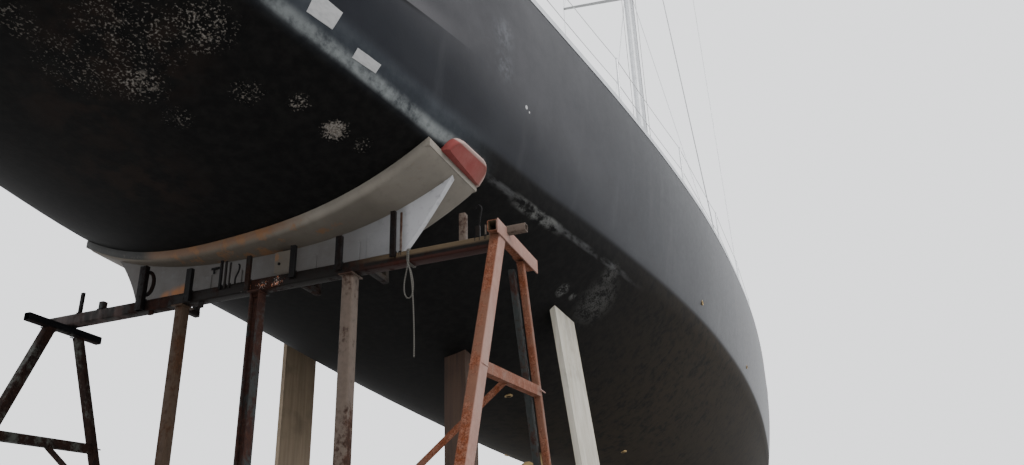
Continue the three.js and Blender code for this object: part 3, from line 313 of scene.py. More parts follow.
def hull_finish():
    f = Finish("hull_paint", coat=0.0, specular=0.10)
    x, y, z = f.axes()
    ahead = x - SADDLE_X
    length = BOW_X - STERN_X
    along = (x - STERN_X) * (1 / length)
    stops = [((SADDLE_X + station - STERN_X) / length, (height - RAMP_FOOT) / RAMP_SPAN)
             for station, height in BILGE_LINE]
    line = f.node("ShaderNodeValToRGB", {"stops": stops}, {0: along}) * RAMP_SPAN + RAMP_FOOT
    over = z - line
    topside = over.step(0.13, 0.20)
    wide = f.noise(1.3, 5, 0.6)
    mid = f.noise(5.5, 5, 0.62)
    fine = f.noise(14, 6, 0.65)
    grain = f.noise(90, 3, 0.6)
    dots = f.noise(62, 3, 0.55)
    runs = f.noise(2.6, 5, 0.6, along=(1.0, 1.0, 0.16))

    def spots(*rows):
        """The strongest of several round fields: place, outer and inner radius, strength."""
        signal = None
        for place, outer, inner, strength in rows:
            one = f.near(place, outer, inner) * strength
            signal = one if signal is None else signal.most(one)
        return signal

    # dark blue above; higher up the quarter a patchy grey painted sheen, where the topside reflects
    # the sky, then rain runs and specks of dust
    blue = f.mix(wide.step(0.35, 0.7), (0.0035, 0.0045, 0.0080), (0.0085, 0.0100, 0.0140))
    high = (z + ahead * 0.10).step(4.95, 5.55) * ahead.step(3.6, 0.4)
    blue = f.mix(high * (wide * 0.6 + mid * 0.5), blue, (0.066, 0.065, 0.070))
    blue = f.mix(runs.step(0.52, 0.80) * 0.45, blue, (0.040, 0.041, 0.045))
    blue = f.mix(fine.step(0.66, 0.78) * 0.3, blue, (0.055, 0.055, 0.056))
    # pale bluish patches high on the quarter: more painted sheen, where the topside reflects the sky
    sky_sheen_patches = spots(((-8.34, -1.95, 5.68), 0.20, 0.02, 1), ((-8.30, -1.93, 5.42), 0.17, 0.02, 0.9))
    blue = f.mix(sky_sheen_patches * fine.step(0.42, 0.6) * 0.35, blue, (0.13, 0.14, 0.155))
    # painted shadow: a near-black line just under a crease on the quarter; above the crease a painted
    # highlight
    crease = z - ahead * 0.055 - 5.287
    lip = crease.step(-0.035, -0.002) * crease.step(0.005, 0.0) * ahead.step(-0.10, -0.62)
    blue = f.mix(lip, blue, (0.0015, 0.0015, 0.0018))
    lit = crease.step(-0.002, 0.006) * crease.step(0.16, 0.02) * ahead.step(0.35, -0.5)
    blue = f.mix(lit * 0.6, blue, (0.105, 0.102, 0.108))
    chip = spots(((-7.953, -1.937, 5.245), 0.020, 0.012, 1), ((-7.905, -1.94, 5.225), 0.011, 0.006, 1))
    # black below, with rust-brown and olive haze
    black = f.mix(fine.step(0.35, 0.7), (0.0028, 0.0028, 0.0029), (0.0075, 0.0072, 0.0068))
    dust = ahead.step(2.2, 6.5) * (fine * 0.6 + mid * 0.5).step(0.36, 0.62)
    black = f.mix(dust * 0.8, black, (0.026, 0.019, 0.0115))
    haze = spots(((-9.70, 0.15, 4.34), 0.70, 0.1, 0.9), ((-10.35, -0.15, 4.43), 0.55, 0.1, 0.8),
                 ((-10.55, -0.72, 4.52), 0.62, 0.15, 1.0))
    black = f.mix(haze * mid.step(0.40, 0.62) * 0.6, black, (0.019, 0.0115, 0.0085))
    # blisters: pale dots gathered in fields, thickest where the fields are strong
    fields = spots(
        ((-10.41, -1.14, 4.60), 0.28, 0.04, 1.0), ((-10.33, -0.60, 4.46), 0.25, 0.05, 0.95),
        ((-10.60, -0.82, 4.54), 0.46, 0.08, 0.75), ((-10.58, -0.42, 4.48), 0.40, 0.05, 0.62),
        ((-9.385, -1.245, 4.468), 0.125, 0.05, 1.25), ((-9.685, -1.21, 4.505), 0.10, 0.03, 1.0),
        ((-9.93, -1.03, 4.49), 0.15, 0.03, 0.85), ((-9.17, -1.30, 4.46), 0.10, 0.02, 0.75),
        ((-10.95, -0.40, 4.53), 0.20, 0.04, 0.6), ((-10.02, -0.58, 4.41), 0.16, 0.03, 0.55),
    )
    sparse = fields * 0.13 + (mid - 0.5) * 0.22
    specks = (dots + sparse).step(0.655, 0.695) * fields.step(0.12, 0.4)
    clots = (fine + fields * 0.16).step(0.70, 0.76) * fields.step(0.7, 0.95)
    marks = specks.most(clots)
    pale = f.mix(grain.step(0.35, 0.65), (0.085, 0.072, 0.060), (0.215, 0.200, 0.182))
    black = f.mix(marks * (fields * 0.6 + 0.3).held(), black, pale)
    # the bilge aft of the saddle, rubbed grey, with a bright lower edge that grows toward the saddle;
    # that edge is partly worn paint and partly a painted highlight on the turn of the bilge
    aft = ahead.step(0.75, 0.15)
    band = over.step(-0.03, 0.03) * over.step(0.27, 0.15) * aft
    grey = f.mix((fine * 0.5 + runs * 0.5).step(0.3, 0.7), (0.020, 0.024, 0.030), (0.040, 0.046, 0.054))
    edge = over.step(-0.010, 0.022) * over.step(0.105, 0.045) * aft
    edge = edge * (ahead.step(-2.6, -0.5) * 0.75 + 0.1) * (fine * 0.6 + runs * 0.5).step(0.32, 0.66)
    skin = f.mix(topside, black, blue)
    skin = f.mix(band * 0.85, skin, grey)
    skin = f.mix(edge, skin, (0.200, 0.215, 0.215))
    # the worn streak forward of the saddle, and rubbed marks above the plank
    worn = f.noise(7, 6, 0.65, along=(0.45, 1, 1.4))
    streak = over.step(-0.030, -0.010) * over.step(0.028, 0.004)
    streak = streak * ahead.step(0.5, 0.8) * ahead.step(3.7, 2.7)
    broad = over.step(-0.050, -0.026) * over.step(0.040, 0.014) * f.near((-7.47, -1.77, 4.55), 0.46, 0.16)
    skin = f.mix(streak * worn.step(0.38, 0.60) * 0.5, skin, (0.110, 0.112, 0.115))
    skin = f.mix(broad * (worn * 0.5 + fine * 0.5).step(0.40, 0.56) * 0.85, skin, (0.125, 0.127, 0.122))
    rubbed = spots(((-6.46, -1.54, 4.30), 0.095, 0.02, 1.0), ((-6.27, -1.56, 4.30), 0.06, 0.01, 0.7),
                   ((-5.90, -1.66, 4.35), 0.36, 0.05, 0.35), ((-6.02, -1.86, 4.53), 0.18, 0.03, 0.35))
    skin = f.mix(rubbed * (fine * 0.5 + dots * 0.5).step(0.42, 0.58), skin, (0.125, 0.125, 0.120))
    skin = f.mix(chip, skin, (0.40, 0.40, 0.40))
    rough = 0.33 + (1 - topside) * 0.36 + fine * 0.10 + marks * 0.1
    relief = fine * 0.4 * (1 - topside) + grain * 0.12 + marks * 1.2 + wide * 0.3
    return f.surface(skin, rough, relief, depth=0.0035)


hull_paint = hull_finish()
print("hull paint:", len(hull_paint.node_tree.nodes), "nodes")

# %% [markdown]
# The rest of the yacht and its cradle need about twenty finishes. Several are the same idea with
# other colours, so each kind is a function: rusty steel shows old paint, bare rust and dark scale,
# timber has grain drawn out along the plank, and metals differ mainly in colour and roughness.

# %% Finishes of the cradle
def along_beam(x, y):
    """How far to port a place is, measured along the skewed beam."""
    return y * math.cos(SKEW) - (x - SADDLE_X) * math.sin(SKEW)


def rusty_steel(name, paint, rust, scale_colour, rusted=0.5, lit_face_colour=None, flaked=False, dark_above=None):
    """Old paint, rust and scale. The face of steel out to starboard may be made paler: a painted
    highlight where the light falls on it.
    """
    f = Finish(name, specular=0.13)
    x, y, z = f.axes()
    wide = f.noise(3.1, 5, 0.62)
    fine = f.noise(26, 7, 0.7)
    pits = f.noise(120, 4, 0.6)
    runs = f.noise(9, 4, 0.6, along=(1, 1, 0.12))
    amount = wide * 0.55 + runs * 0.45 + (fine - 0.5) * 0.45
    amount = amount.step(0.66 - rusted * 0.36, 0.78 - rusted * 0.36)
    orange = f.mix(fine.step(0.38, 0.66), rust, scale_colour)
    tone = f.mix(pits.step(0.4, 0.7), orange, [c * 0.55 for c in rust])
    colour = f.mix(amount, f.mix(fine.step(0.3, 0.8), paint, [c * 0.72 for c in paint]), tone)
    if lit_face_colour:
        # painted highlight: the face out to starboard is paler, lit from that side
        offset = along_beam(x, y)
        colour = f.mix(offset.step(-2.112, -2.122) * (0.45 + fine * 0.6).held(), colour, lit_face_colour)
    if dark_above:
        colour = f.mix(z.step(dark_above, dark_above + 0.03), colour, (0.0036, 0.0036, 0.0044))
    if flaked:
        offset = along_beam(x, y)
        olive = offset.step(-1.0, -1.5) * z.step(3.752, 3.775) * (0.4 + wide).held()
        colour = f.mix(olive, colour, (0.098, 0.070, 0.042))
        colour = f.mix(offset.step(-1.0, -1.4) * z.step(3.742, 3.730) * 0.7, colour, (0.034, 0.009, 0.006))
        port_end = offset.step(0.78, 0.95)
        colour = f.mix(port_end * runs.step(0.4, 0.6) * 0.6, colour, (0.085, 0.062, 0.058))
        chips = f.near((-8.98, -0.47, 3.755), 0.11, 0.02).most(f.near((-9.00, -0.36, 3.740), 0.12, 0.02))
        chips = chips.most(f.near((-9.02, -0.22, 3.728), 0.12, 0.02) * 0.8)
        colour = f.mix((chips * 0.30 + fine).step(0.74, 0.80), colour, (0.30, 0.115, 0.060))
        colour = f.mix((chips * 0.26 + pits).step(0.80, 0.86), colour, (0.42, 0.38, 0.36))
    rough = 0.55 + amount * 0.33
    relief = amount * 0.5 + pits * 0.35 + fine * 0.5
    return f.surface(colour, rough, relief, depth=0.0022)


def moulded(name, base, stain, amount=0.5, port=None, outer=None):
    """Chalky glass fibre with rust runs and green-grey dirt. The band is browner to port, with painted
    shade on its underside and a painted shadow line at its aft edge; the web has painted shade
    inboard and a painted highlight at its starboard end.
    """
    f = Finish(name)
    x, y, _ = f.axes()
    ahead, starboard = x - SADDLE_X, y * -1
    wide = f.noise(1.9, 5, 0.6)
    mid = f.noise(6.5, 5, 0.62)
    fine = f.noise(17, 6, 0.65)
    runs = f.noise(7.5, 4, 0.6, along=(1, 1, 0.2))
    weave = f.noise(210, 2, 0.5)
    colour = f.mix(wide.step(0.34, 0.66), base, [c * 0.78 for c in base])
    if outer:
        # painted shade over the web inboard, under the band, and a painted highlight on its starboard end
        inboard_shade = starboard.step(1.20, 0.55) * (0.55 + mid * 0.6).held()
        colour = f.mix(inboard_shade, colour, (0.066, 0.058, 0.052))
        colour = f.mix(starboard.step(1.22, 1.30), colour, outer)
    if port:
        brown = f.mix(mid.step(0.35, 0.65), port, [c * 0.8 for c in port])
        colour = f.mix((y + mid * 0.8).step(-0.6, 0.75), colour, brown)
        # painted shade over the band's underside, all but its aft edge and its starboard end
        underside_shade = ahead.step(0.0, 0.05) * starboard.step(1.42, 1.05)
        colour = f.mix(underside_shade * (0.35 + wide * 0.5).held(), colour, (0.058, 0.047, 0.036))
        rust = f.near((-8.88, 0.10, 4.22), 0.85, 0.1).most(f.near((-8.86, -0.55, 4.30), 0.5, 0.1) * 0.8)
        lip = ahead.step(0.020, 0.002) * starboard.step(0.75, 0.30) * y.step(1.05, 0.75)
        colour = f.mix(lip * (0.3 + mid * 0.6).held(), colour, (0.150, 0.062, 0.022))
        # painted shadow: a near-black line along the aft edge to port, where the band meets the hull
        colour = f.mix(ahead.step(0.018, 0.012) * y.step(0.80, 1.0), colour, (0.008, 0.008, 0.006))
        colour = f.mix((rust * 0.10 + mid).step(0.60, 0.70) * rust.step(0.0, 0.4) * 0.65, colour,
                       (0.200, 0.088, 0.028))
    else:
        rust = f.near((-8.79, 0.76, 3.910), 0.09, 0.03).most(f.near((-8.785, 0.68, 3.925), 0.10, 0.03))
        rust = rust.most(f.near((-8.78, 0.60, 3.950), 0.08, 0.02))
        colour = f.mix(rust * mid.step(0.26, 0.50), colour, (0.290, 0.110, 0.028))
    colour = f.mix(fine.step(0.52, 0.74) * 0.5, colour, [c * 0.6 for c in base])
    colour = f.mix((runs * 0.6 + wide * 0.4).step(0.62 - amount * 0.1, 0.76) * 0.6, colour, stain)
    colour = f.mix(fine.step(0.70, 0.77) * 0.7, colour, (0.028, 0.024, 0.018))
    return f.surface(colour, 0.52 + fine * 0.3, fine * 0.5 + weave * 0.2 + wide * 0.5, depth=0.0018)


def timber(name, light, dark, along=(9.0, 9.0, 0.55)):
    """Sawn softwood. The grain is drawn out along the axis whose number is small."""
    f = Finish(name)
    grain = f.noise(3.4, 8, 0.68, along=along)
    rings = f.noise(1.2, 3, 0.5, along=along)
    fibres = f.noise(16, 4, 0.6, along=along)
    dirt = f.noise(2.3, 5, 0.6)
    colour = f.mix((grain * 0.6 + rings * 0.4).step(0.36, 0.64), light, dark)
    colour = f.mix(dirt.step(0.52, 0.74) * 0.5, colour, [c * 0.42 for c in dark])
    return f.surface(colour, 0.62 + dirt * 0.25, grain * 0.6 + fibres * 0.6, depth=0.002)


beam_steel = rusty_steel("beam_steel", (0.0060, 0.0045, 0.0036), (0.024, 0.008, 0.0045),
                         (0.0060, 0.0036, 0.0030), 0.50, flaked=True)
stub_steel = rusty_steel("stub_steel", (0.0085, 0.0062, 0.0050), (0.028, 0.0105, 0.0055),
                         (0.0080, 0.0050, 0.0040), 0.50)
brown_steel = rusty_steel("brown_steel", (0.052, 0.033, 0.021), (0.070, 0.031, 0.015), (0.036, 0.022, 0.015),
                          0.50)
orange_steel = rusty_steel("orange_steel", (0.140, 0.066, 0.042), (0.135, 0.036, 0.013),
                           (0.205, 0.098, 0.066), 0.72,
                           lit_face_colour=(0.300, 0.190, 0.160))
trestle_steel = rusty_steel("trestle_steel", (0.050, 0.053, 0.046), (0.024, 0.0105, 0.0070),
                            (0.0085, 0.0060, 0.0056), 0.80,
                            dark_above=3.64)
dark_steel = rusty_steel("dark_steel", (0.0040, 0.0034, 0.0034), (0.0095, 0.0045, 0.0032),
                         (0.0030, 0.0024, 0.0023), 0.50)
pale_steel = rusty_steel("pale_steel", (0.105, 0.080, 0.064), (0.052, 0.024, 0.015), (0.030, 0.018, 0.014),
                         0.54)
grey_steel = rusty_steel("grey_steel", (0.026, 0.030, 0.029), (0.050, 0.021, 0.014), (0.020, 0.012, 0.012),
                         0.55)
saddle_moulding = moulded("saddle_moulding", (0.200, 0.180, 0.150), (0.110, 0.062, 0.030), 0.4,
                          port=(0.105, 0.083, 0.058))
web_moulding = moulded("web_moulding", (0.190, 0.190, 0.194), (0.190, 0.085, 0.030), 0.2,
                       outer=(0.36, 0.36, 0.375))
plank_timber = timber("plank_timber", (0.46, 0.435, 0.375), (0.34, 0.31, 0.25))
board_timber = timber("board_timber", (0.26, 0.20, 0.135), (0.19, 0.143, 0.095))
post_timber = timber("post_timber", (0.052, 0.026, 0.014), (0.026, 0.0125, 0.0075))
block_timber = timber("block_timber", (0.25, 0.19, 0.125), (0.15, 0.105, 0.068), along=(9.0, 0.55, 9.0))
print("cradle finishes ready")

# %% Rubber, rope, tape
def rubber(name, base, pale, dirt, rim):
    """Sun-bleached rubber. Its upper edge and its fore end are paler, a painted highlight where they
    catch the light.
    """
    f = Finish(name, specular=0.3)
    x, y, z = f.axes()
    wide = f.noise(4.5, 5, 0.6)
    fine = f.noise(45, 6, 0.65)
    up_slope = y * -0.616 + z * 0.788
    colour = f.mix(wide.step(0.35, 0.7), base, pale)
    colour = f.mix((x - wide * 0.15).step(-8.50, -8.26) * 0.55, colour, dirt)
    # painted highlight along the upper edge and the fore end
    worn = up_slope.step(4.696, 4.712).most((x + 8.25).step(-0.03, 0.0))
    colour = f.mix(worn * (fine * 0.5 + 0.6).held(), colour, rim)
    colour = f.mix((wide * 0.4 + fine * 0.6).step(0.56, 0.70) * 0.6, colour, dirt)
    return f.surface(colour, 0.6 + fine * 0.3, fine * 0.6 + wide * 0.3, depth=0.0016)


red_rubber = rubber("red_rubber", (0.185, 0.036, 0.032), (0.225, 0.075, 0.066), (0.090, 0.048, 0.030),
                    (0.40, 0.31, 0.28))


def laid_rope():
    f = Finish("rope", roughness=0.85, specular=0.2)
    lay = f.node("ShaderNodeTexWave", {"bands_direction": "DIAGONAL"},
                 {"Vector": f.place, "Scale": 45.0, "Distortion": 0.6})
    dirt = f.noise(30, 4, 0.6)
    colour = f.mix(lay, (0.055, 0.052, 0.046), (0.115, 0.11, 0.098))
    colour = f.mix(dirt.step(0.5, 0.75) * 0.6, colour, (0.06, 0.05, 0.04))
    return f.surface(colour, height=lay, depth=0.0009)


rope_curve.materials.append(laid_rope())


def tape():
    f = Finish("white_tape")
    crease = f.noise(22, 4, 0.6, along=(1, 1, 2))
    colour = f.mix(crease.step(0.35, 0.72), (0.29, 0.29, 0.29), (0.235, 0.237, 0.24))
    return f.surface(colour, 0.42 + crease * 0.25, crease, depth=0.0012)


white_tape = tape()
print("soft finishes ready")

# %% [markdown]
# Deck paint is off-white with a fine non-slip grain. Spars are anodised, so they are a pale grey
# with faint lengthwise draw lines. Stainless is brighter and smoother, bronze and zinc are cast.

# %% Finishes of deck and rig
def painted(name, base, shade, grit=0.0, rough=0.45):
    f = Finish(name)
    wide = f.noise(1.7, 5, 0.6)
    fine = f.noise(30, 5, 0.65)
    grains = f.cells(260)
    colour = f.mix(wide.step(0.3, 0.72), base, shade)
    colour = f.mix(fine.step(0.58, 0.76) * 0.4, colour, [c * 0.55 for c in shade])
    return f.surface(colour, rough + fine * 0.2, fine * 0.3 + grains * grit, depth=0.0012)


def metal(name, base, shade, rough=0.3, brushed=(1, 1, 0.06), pitted=0.0):
    f = Finish(name, metallic=1.0)
    lines = f.noise(90, 3, 0.6, along=brushed)
    wide = f.noise(6, 5, 0.62)
    colour = f.mix((lines * 0.5 + wide * 0.5).step(0.35, 0.65), base, shade)
    return f.surface(colour, rough + wide * 0.22, lines * 0.25 + wide * pitted, depth=0.0006)


deck_paint = painted("deck_paint", (0.40, 0.40, 0.38), (0.33, 0.33, 0.31), grit=0.9, rough=0.6)
gloss_white = painted("gloss_white", (0.47, 0.47, 0.455), (0.40, 0.40, 0.385), rough=0.25)
bottom_black = painted("bottom_black", (0.016, 0.016, 0.017), (0.030, 0.028, 0.026), rough=0.62)
cast_lead = painted("cast_lead", (0.030, 0.030, 0.031), (0.060, 0.057, 0.053), grit=0.3, rough=0.6)
black_plastic = painted("black_plastic", (0.022, 0.022, 0.023), (0.034, 0.034, 0.035), rough=0.42)
smoked_acrylic = painted("smoked_acrylic", (0.018, 0.021, 0.024), (0.026, 0.030, 0.033), rough=0.08)
spar_alloy = metal("spar_alloy", (0.56, 0.57, 0.58), (0.47, 0.48, 0.49), 0.36)
stainless = metal("stainless", (0.62, 0.63, 0.64), (0.50, 0.51, 0.52), 0.16)
bronze = metal("bronze", (0.42, 0.29, 0.13), (0.26, 0.20, 0.11), 0.36, (1, 1, 1), 0.6)
zinc = metal("zinc", (0.40, 0.41, 0.42), (0.28, 0.29, 0.30), 0.55, (1, 1, 1), 0.8)
print("deck and rig finishes ready")

# %% [markdown]
# Most pieces are skins: rings of points joined by faces. One class collects such skins, so that a
# piece can be a few tubes, boxes and turned shapes in one mesh. `put` makes the Blender object,
# shades it smooth up to an angle, rounds its edges if asked, and lets it ride on a body.

# %% Building skins
UP, FORWARD = Vector((0, 0, 1)), Vector((1, 0, 0))
SIDES = ((1, "port"), (-1, "starboard"))
# A ring never shrinks to a point, because faces of no area would shade badly.
FINEST_RADIUS = 0.0004


def circle(count):
    """Angles evenly round a full turn."""
    return np.arange(count) * 2 * math.pi / count


def bar_axes(start, end, side):
    """A straight bar's own way, and the two directions across it."""
    way = (end - start).normalized()
    across = (Vector(side) - way * Vector(side).dot(way)).normalized()
    return way, across, way.cross(across)


class Piece:
    def __init__(self):
        self.points = []
        self.faces = []

    def skin(self, rings, around=True, caps=True):
        """Joins rings of equal count. Round skins close on themselves and get flat ends."""
        rings = np.asarray(rings, float)
        count = rings.shape[1]
        base = len(self.points)
        self.points.extend(map(tuple, rings.reshape(-1, 3)))
        last = count if around else count - 1
        for i in range(len(rings) - 1):
            for j in range(last):
                a = base + i * count + j
                b = base + i * count + (j + 1) % count
                self.faces.append((a, b, b + count, a + count))
        if around and caps:
            self.faces.append(tuple(base + j for j in reversed(range(count))))
            self.faces.append(tuple(base + (len(rings) - 1) * count + j for j in range(count)))
        return self

    def tube(self, path, radius, sides=12):
        """A round tube along a path. The radius may be one number or one for each place."""
        path = np.asarray(path, float)
        radii = np.broadcast_to(radius, len(path))
        ways = np.gradient(path, axis=0)
        ways /= np.linalg.norm(ways, axis=1)[:, None]
        side = np.cross(ways[0], (0, 0, 1) if abs(ways[0][2]) < 0.9 else (1, 0, 0))
        rings = []
        for p, way, r in zip(path, ways, radii):
            side = side - way * side.dot(way)
            side /= np.linalg.norm(side)
            other = np.cross(way, side)
            rings.append([p + r * (math.cos(t) * side + math.sin(t) * other) for t in circle(sides)])
        return self.skin(rings)

    def turned(self, profile, place=(0, 0, 0), axis=(0, 0, 1), sides=28):
        """A shape turned on a lathe: rows of radius and distance along the axis."""
        turn = Vector((0, 0, 1)).rotation_difference(Vector(axis)).to_matrix()
        rings = []
        for radius, up in profile:
            r = max(radius, FINEST_RADIUS)
            rings.append([Vector(place) + turn @ Vector((r * math.cos(t), r * math.sin(t), up))
                          for t in circle(sides)])
        return self.skin(rings)

    def block(self, size, place, turn=None):
        """A box by its size and middle."""
        turn = turn or Matrix.Identity(3)
        half = Vector(size) / 2
        corners = [(-1, -1), (1, -1), (1, 1), (-1, 1)]
        rings = [
            [Vector(place) + turn @ Vector((a * half.x, b * half.y, c * half.z)) for a, b in corners]
            for c in (-1, 1)
        ]
        return self.skin(rings)

    def section(self, outline, start, end, side=(0, 1, 0)):
        """A straight bar whose section is an outline of [across, up] places."""
        start, end = Vector(start), Vector(end)
        _, across, up = bar_axes(start, end, side)
        rings = [[p + across * a + up * b for a, b in outline] for p in (start, end)]
        return self.skin(rings)

    def hollow_bar(self, start, end, width, depth, wall=0.006, side=(0, 1, 0), reach=0.3):
        """A square tube, open at both ends, with round corners."""
        start, end = Vector(start), Vector(end)
        way, across, up = bar_axes(start, end, side)
        outer = rounded(width, depth, min(width, depth) * 0.14)
        inner = rounded(width - 2 * wall, depth - 2 * wall, min(width, depth) * 0.09)
        reach = min(reach, (end - start).length * 0.4)
        stations = [
            (start + way * reach, inner), (start, inner), (start, outer),
            (end, outer), (end, inner), (end - way * reach, inner),
        ]
        return self.skin([[p + across * a + up * b for a, b in line] for p, line in stations])

    def ball(self, place, radius, sides=12):
        rows = np.linspace(0, math.pi, sides // 2 + 1)
        return self.turned([(radius * math.sin(t), -radius * math.cos(t)) for t in rows], place, sides=sides)

    def sheave(self, place, radii, halves, sides):
        """A grooved wheel on a pin across the boat: radii of edge, lip and groove, and two half-widths."""
        (edge, lip, groove), (wide, narrow) = radii, halves
        profile = [(edge, -wide), (lip, -narrow), (groove, 0), (lip, narrow), (edge, wide)]
        return self.turned(profile, place, (0, 1, 0), sides)

    def stack(self, place, rows, steps=5, caps=True):
        """Rectangles with round corners over each other: rows of length, width, corner and height."""
        x, y, z = place
        return self.skin([
            [(x + a, y + b, z + up) for a, b in rounded(length, width, corner, steps)]
            for length, width, corner, up in rows
        ], caps=caps)

    def put(self, name, finish, body=HULL_BODY, slot="stainless", smooth=38, bevel=0.0, replaces=()):
        mesh = bpy.data.meshes.new(name)
        work = bmesh.new()
        verts = [work.verts.new(p) for p in self.points]
        work.verts.index_update()
        for face in self.faces:
            # Blender refuses a face that is there already, and one is enough.
            try:
                work.faces.new([verts[i] for i in face])
            except ValueError:
                continue
        bmesh.ops.recalc_face_normals(work, faces=work.faces)
        work.to_mesh(mesh)
        work.free()
        return mount(mesh, name, finish, body, smooth, bevel, replaces)


def shade(mesh, smooth):
    work = bmesh.new()
    work.from_mesh(mesh)
    limit = math.radians(smooth)
    for face in work.faces:
        face.smooth = True
    for edge in work.edges:
        edge.smooth = len(edge.link_faces) == 2 and edge.calc_face_angle(0.0) < limit
    work.to_mesh(mesh)
    work.free()


def round_edges(made, width, segments=3, degrees=35):
    edges = made.modifiers.new("rounded_edges", "BEVEL")
    edges.width = width
    edges.segments = segments
    edges.limit_method = "ANGLE"
    edges.angle_limit = math.radians(degrees)
    return edges


def mount(mesh, name, finish, body, smooth, bevel, replaces):
    shade(mesh, smooth)
    made = bpy.data.objects.new(name, mesh)
    if not mesh.materials:
        mesh.materials.append(finish)
    bpy.context.scene.collection.objects.link(made)
    if bevel:
        round_edges(made, bevel).harden_normals = True
    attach(made, body)
    if replaces:
        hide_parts(*replaces)
    return made


def rounded(width, depth, radius, steps=3):
    """A rectangle's outline with round corners."""
    out = []
    for k, (sx, sy) in enumerate([(1, 1), (-1, 1), (-1, -1), (1, -1)]):
        for i in range(steps + 1):
            t = math.pi / 2 * (k + i / steps)
            x, y = sx * (width / 2 - radius), sy * (depth / 2 - radius)
            out.append((x + radius * math.cos(t), y + radius * math.sin(t)))
    return out


def carve(target, *tools):
    """Cuts closed skins from an object for good, and returns the count of its faces."""
    cutters = []
    for number, tool in enumerate(tools):
        mesh = bpy.data.meshes.new("cutter")
        mesh.from_pydata([tuple(p) for p in tool.points], [], tool.faces)
        work = bmesh.new()
        work.from_mesh(mesh)
        bmesh.ops.recalc_face_normals(work, faces=work.faces)
        work.to_mesh(mesh)
        work.free()
        cutter = bpy.data.objects.new("cutter", mesh)
        bpy.context.scene.collection.objects.link(cutter)
        cut = target.modifiers.new(f"cut_{number}", "BOOLEAN")
        cut.operation = "DIFFERENCE"
        cut.solver = "EXACT"
        cut.object = cutter
        cutters.append(cutter)
    ready = target.evaluated_get(bpy.context.evaluated_depsgraph_get())
    mesh = bpy.data.meshes.new_from_object(ready)
    target.modifiers.clear()
    target.data = mesh
    for cutter in cutters:
        bpy.data.objects.remove(cutter)
    return len(mesh.polygons)


print("skin helpers ready")

# %% [markdown]
# The hull is the one big form, and the photograph looks along it from very near. The CAD hull has
# broad facets, so the same stations are drawn again here with many more rings and a smooth round
# bilge. Each column of the table runs through a smooth curve, as a batten bends through stations.

# %% The hull's lines
COLUMNS = ("ahead", "sheer_half", "sheer", "bilge_half", "bilge", "bottom", "power")
STATIONS = np.array([
    (-3.6, 1.43, 6.25, 1.095, 4.94, 4.74, 2.4),
    (-2.4, 1.64, 6.26, 1.295, 4.805, 4.565, 2.4),
    (-1.2, 1.82, 6.28, 1.475, 4.68, 4.395, 2.4),
    (0, 1.93, 6.29, 1.645, 4.566, 4.22, 2.55),
    (1.4, 2.05, 6.30, 1.79, 4.56, 3.97, 2.3),
    (2.8, 2.16, 6.30, 1.91, 4.59, 3.71, 2.2),
    (4.3, 2.23, 6.305, 1.99, 4.62, 3.50, 2.0),
    (6.0, 2.24, 6.31, 2.01, 4.64, 3.37, 2.0),
    (8.2, 2.13, 6.34, 1.91, 4.65, 3.31, 2.0),
    (10.5, 1.92, 6.39, 1.69, 4.65, 3.32, 1.9),
    (13.0, 1.60, 6.46, 1.35, 4.65, 3.41, 1.8),
    (15.5, 1.22, 6.55, 0.95, 4.66, 3.62, 1.7),
    (18.0, 0.83, 6.66, 0.52, 4.69, 3.99, 1.5),
    (19.7, 0.50, 6.74, 0.23, 4.80, 4.45, 1.3),
    (20.7, 0.26, 6.78, 0.09, 5.30, 5.12, 1.2),
    (21.4, 0.06, 6.81, 0.03, 6.50, 6.44, 1.1),
])
BILGE_WIDTH = 0.11
BILGE_HEIGHT = 0.25
SWELL = 0.045
CAMBER = 0.09


def hull_at(ahead):
    """Every column's value at a distance ahead of the saddle."""
    rows = STATIONS
    last = len(rows) - 2
    i = int(np.clip(np.searchsorted(rows[:, 0], ahead, side="left") - 1, 0, last))
    a, b = rows[i], rows[i + 1]
    span = b[0] - a[0]
    t = (ahead - a[0]) / span
    rise = (b - a) / span
    slope_a = rise if i == 0 else (b - rows[i - 1]) / (b[0] - rows[i - 1][0])
    slope_b = rise if i == last else (rows[i + 2] - a) / (rows[i + 2][0] - a[0])
    found = (
        a * (1 + 2 * t) * (1 - t) ** 2 + b * t * t * (3 - 2 * t)
        + slope_a * span * t * (1 - t) ** 2 - slope_b * span * t * t * (1 - t)
    )
    row = dict(zip(COLUMNS, found))
    row["ahead"] = ahead
    return row


def bottom_at(ahead, y):
    s = hull_at(ahead)
    return s["bottom"] + (s["bilge"] - s["bottom"]) * min(abs(y) / s["bilge_half"], 1) ** s["power"]


def deck_at(ahead, y=0.0):
    """The deck's height. Its camber is three flats a side, as in the solid."""
    s = hull_at(ahead)
    share = min(abs(y) / s["sheer_half"], 1)
    rise = CAMBER * s["sheer_half"] / 2.24
    knots = [rise, rise * (1 - 0.36), 0.0]
    return s["sheer"] + float(np.interp(share, [0, 0.6, 1], knots))


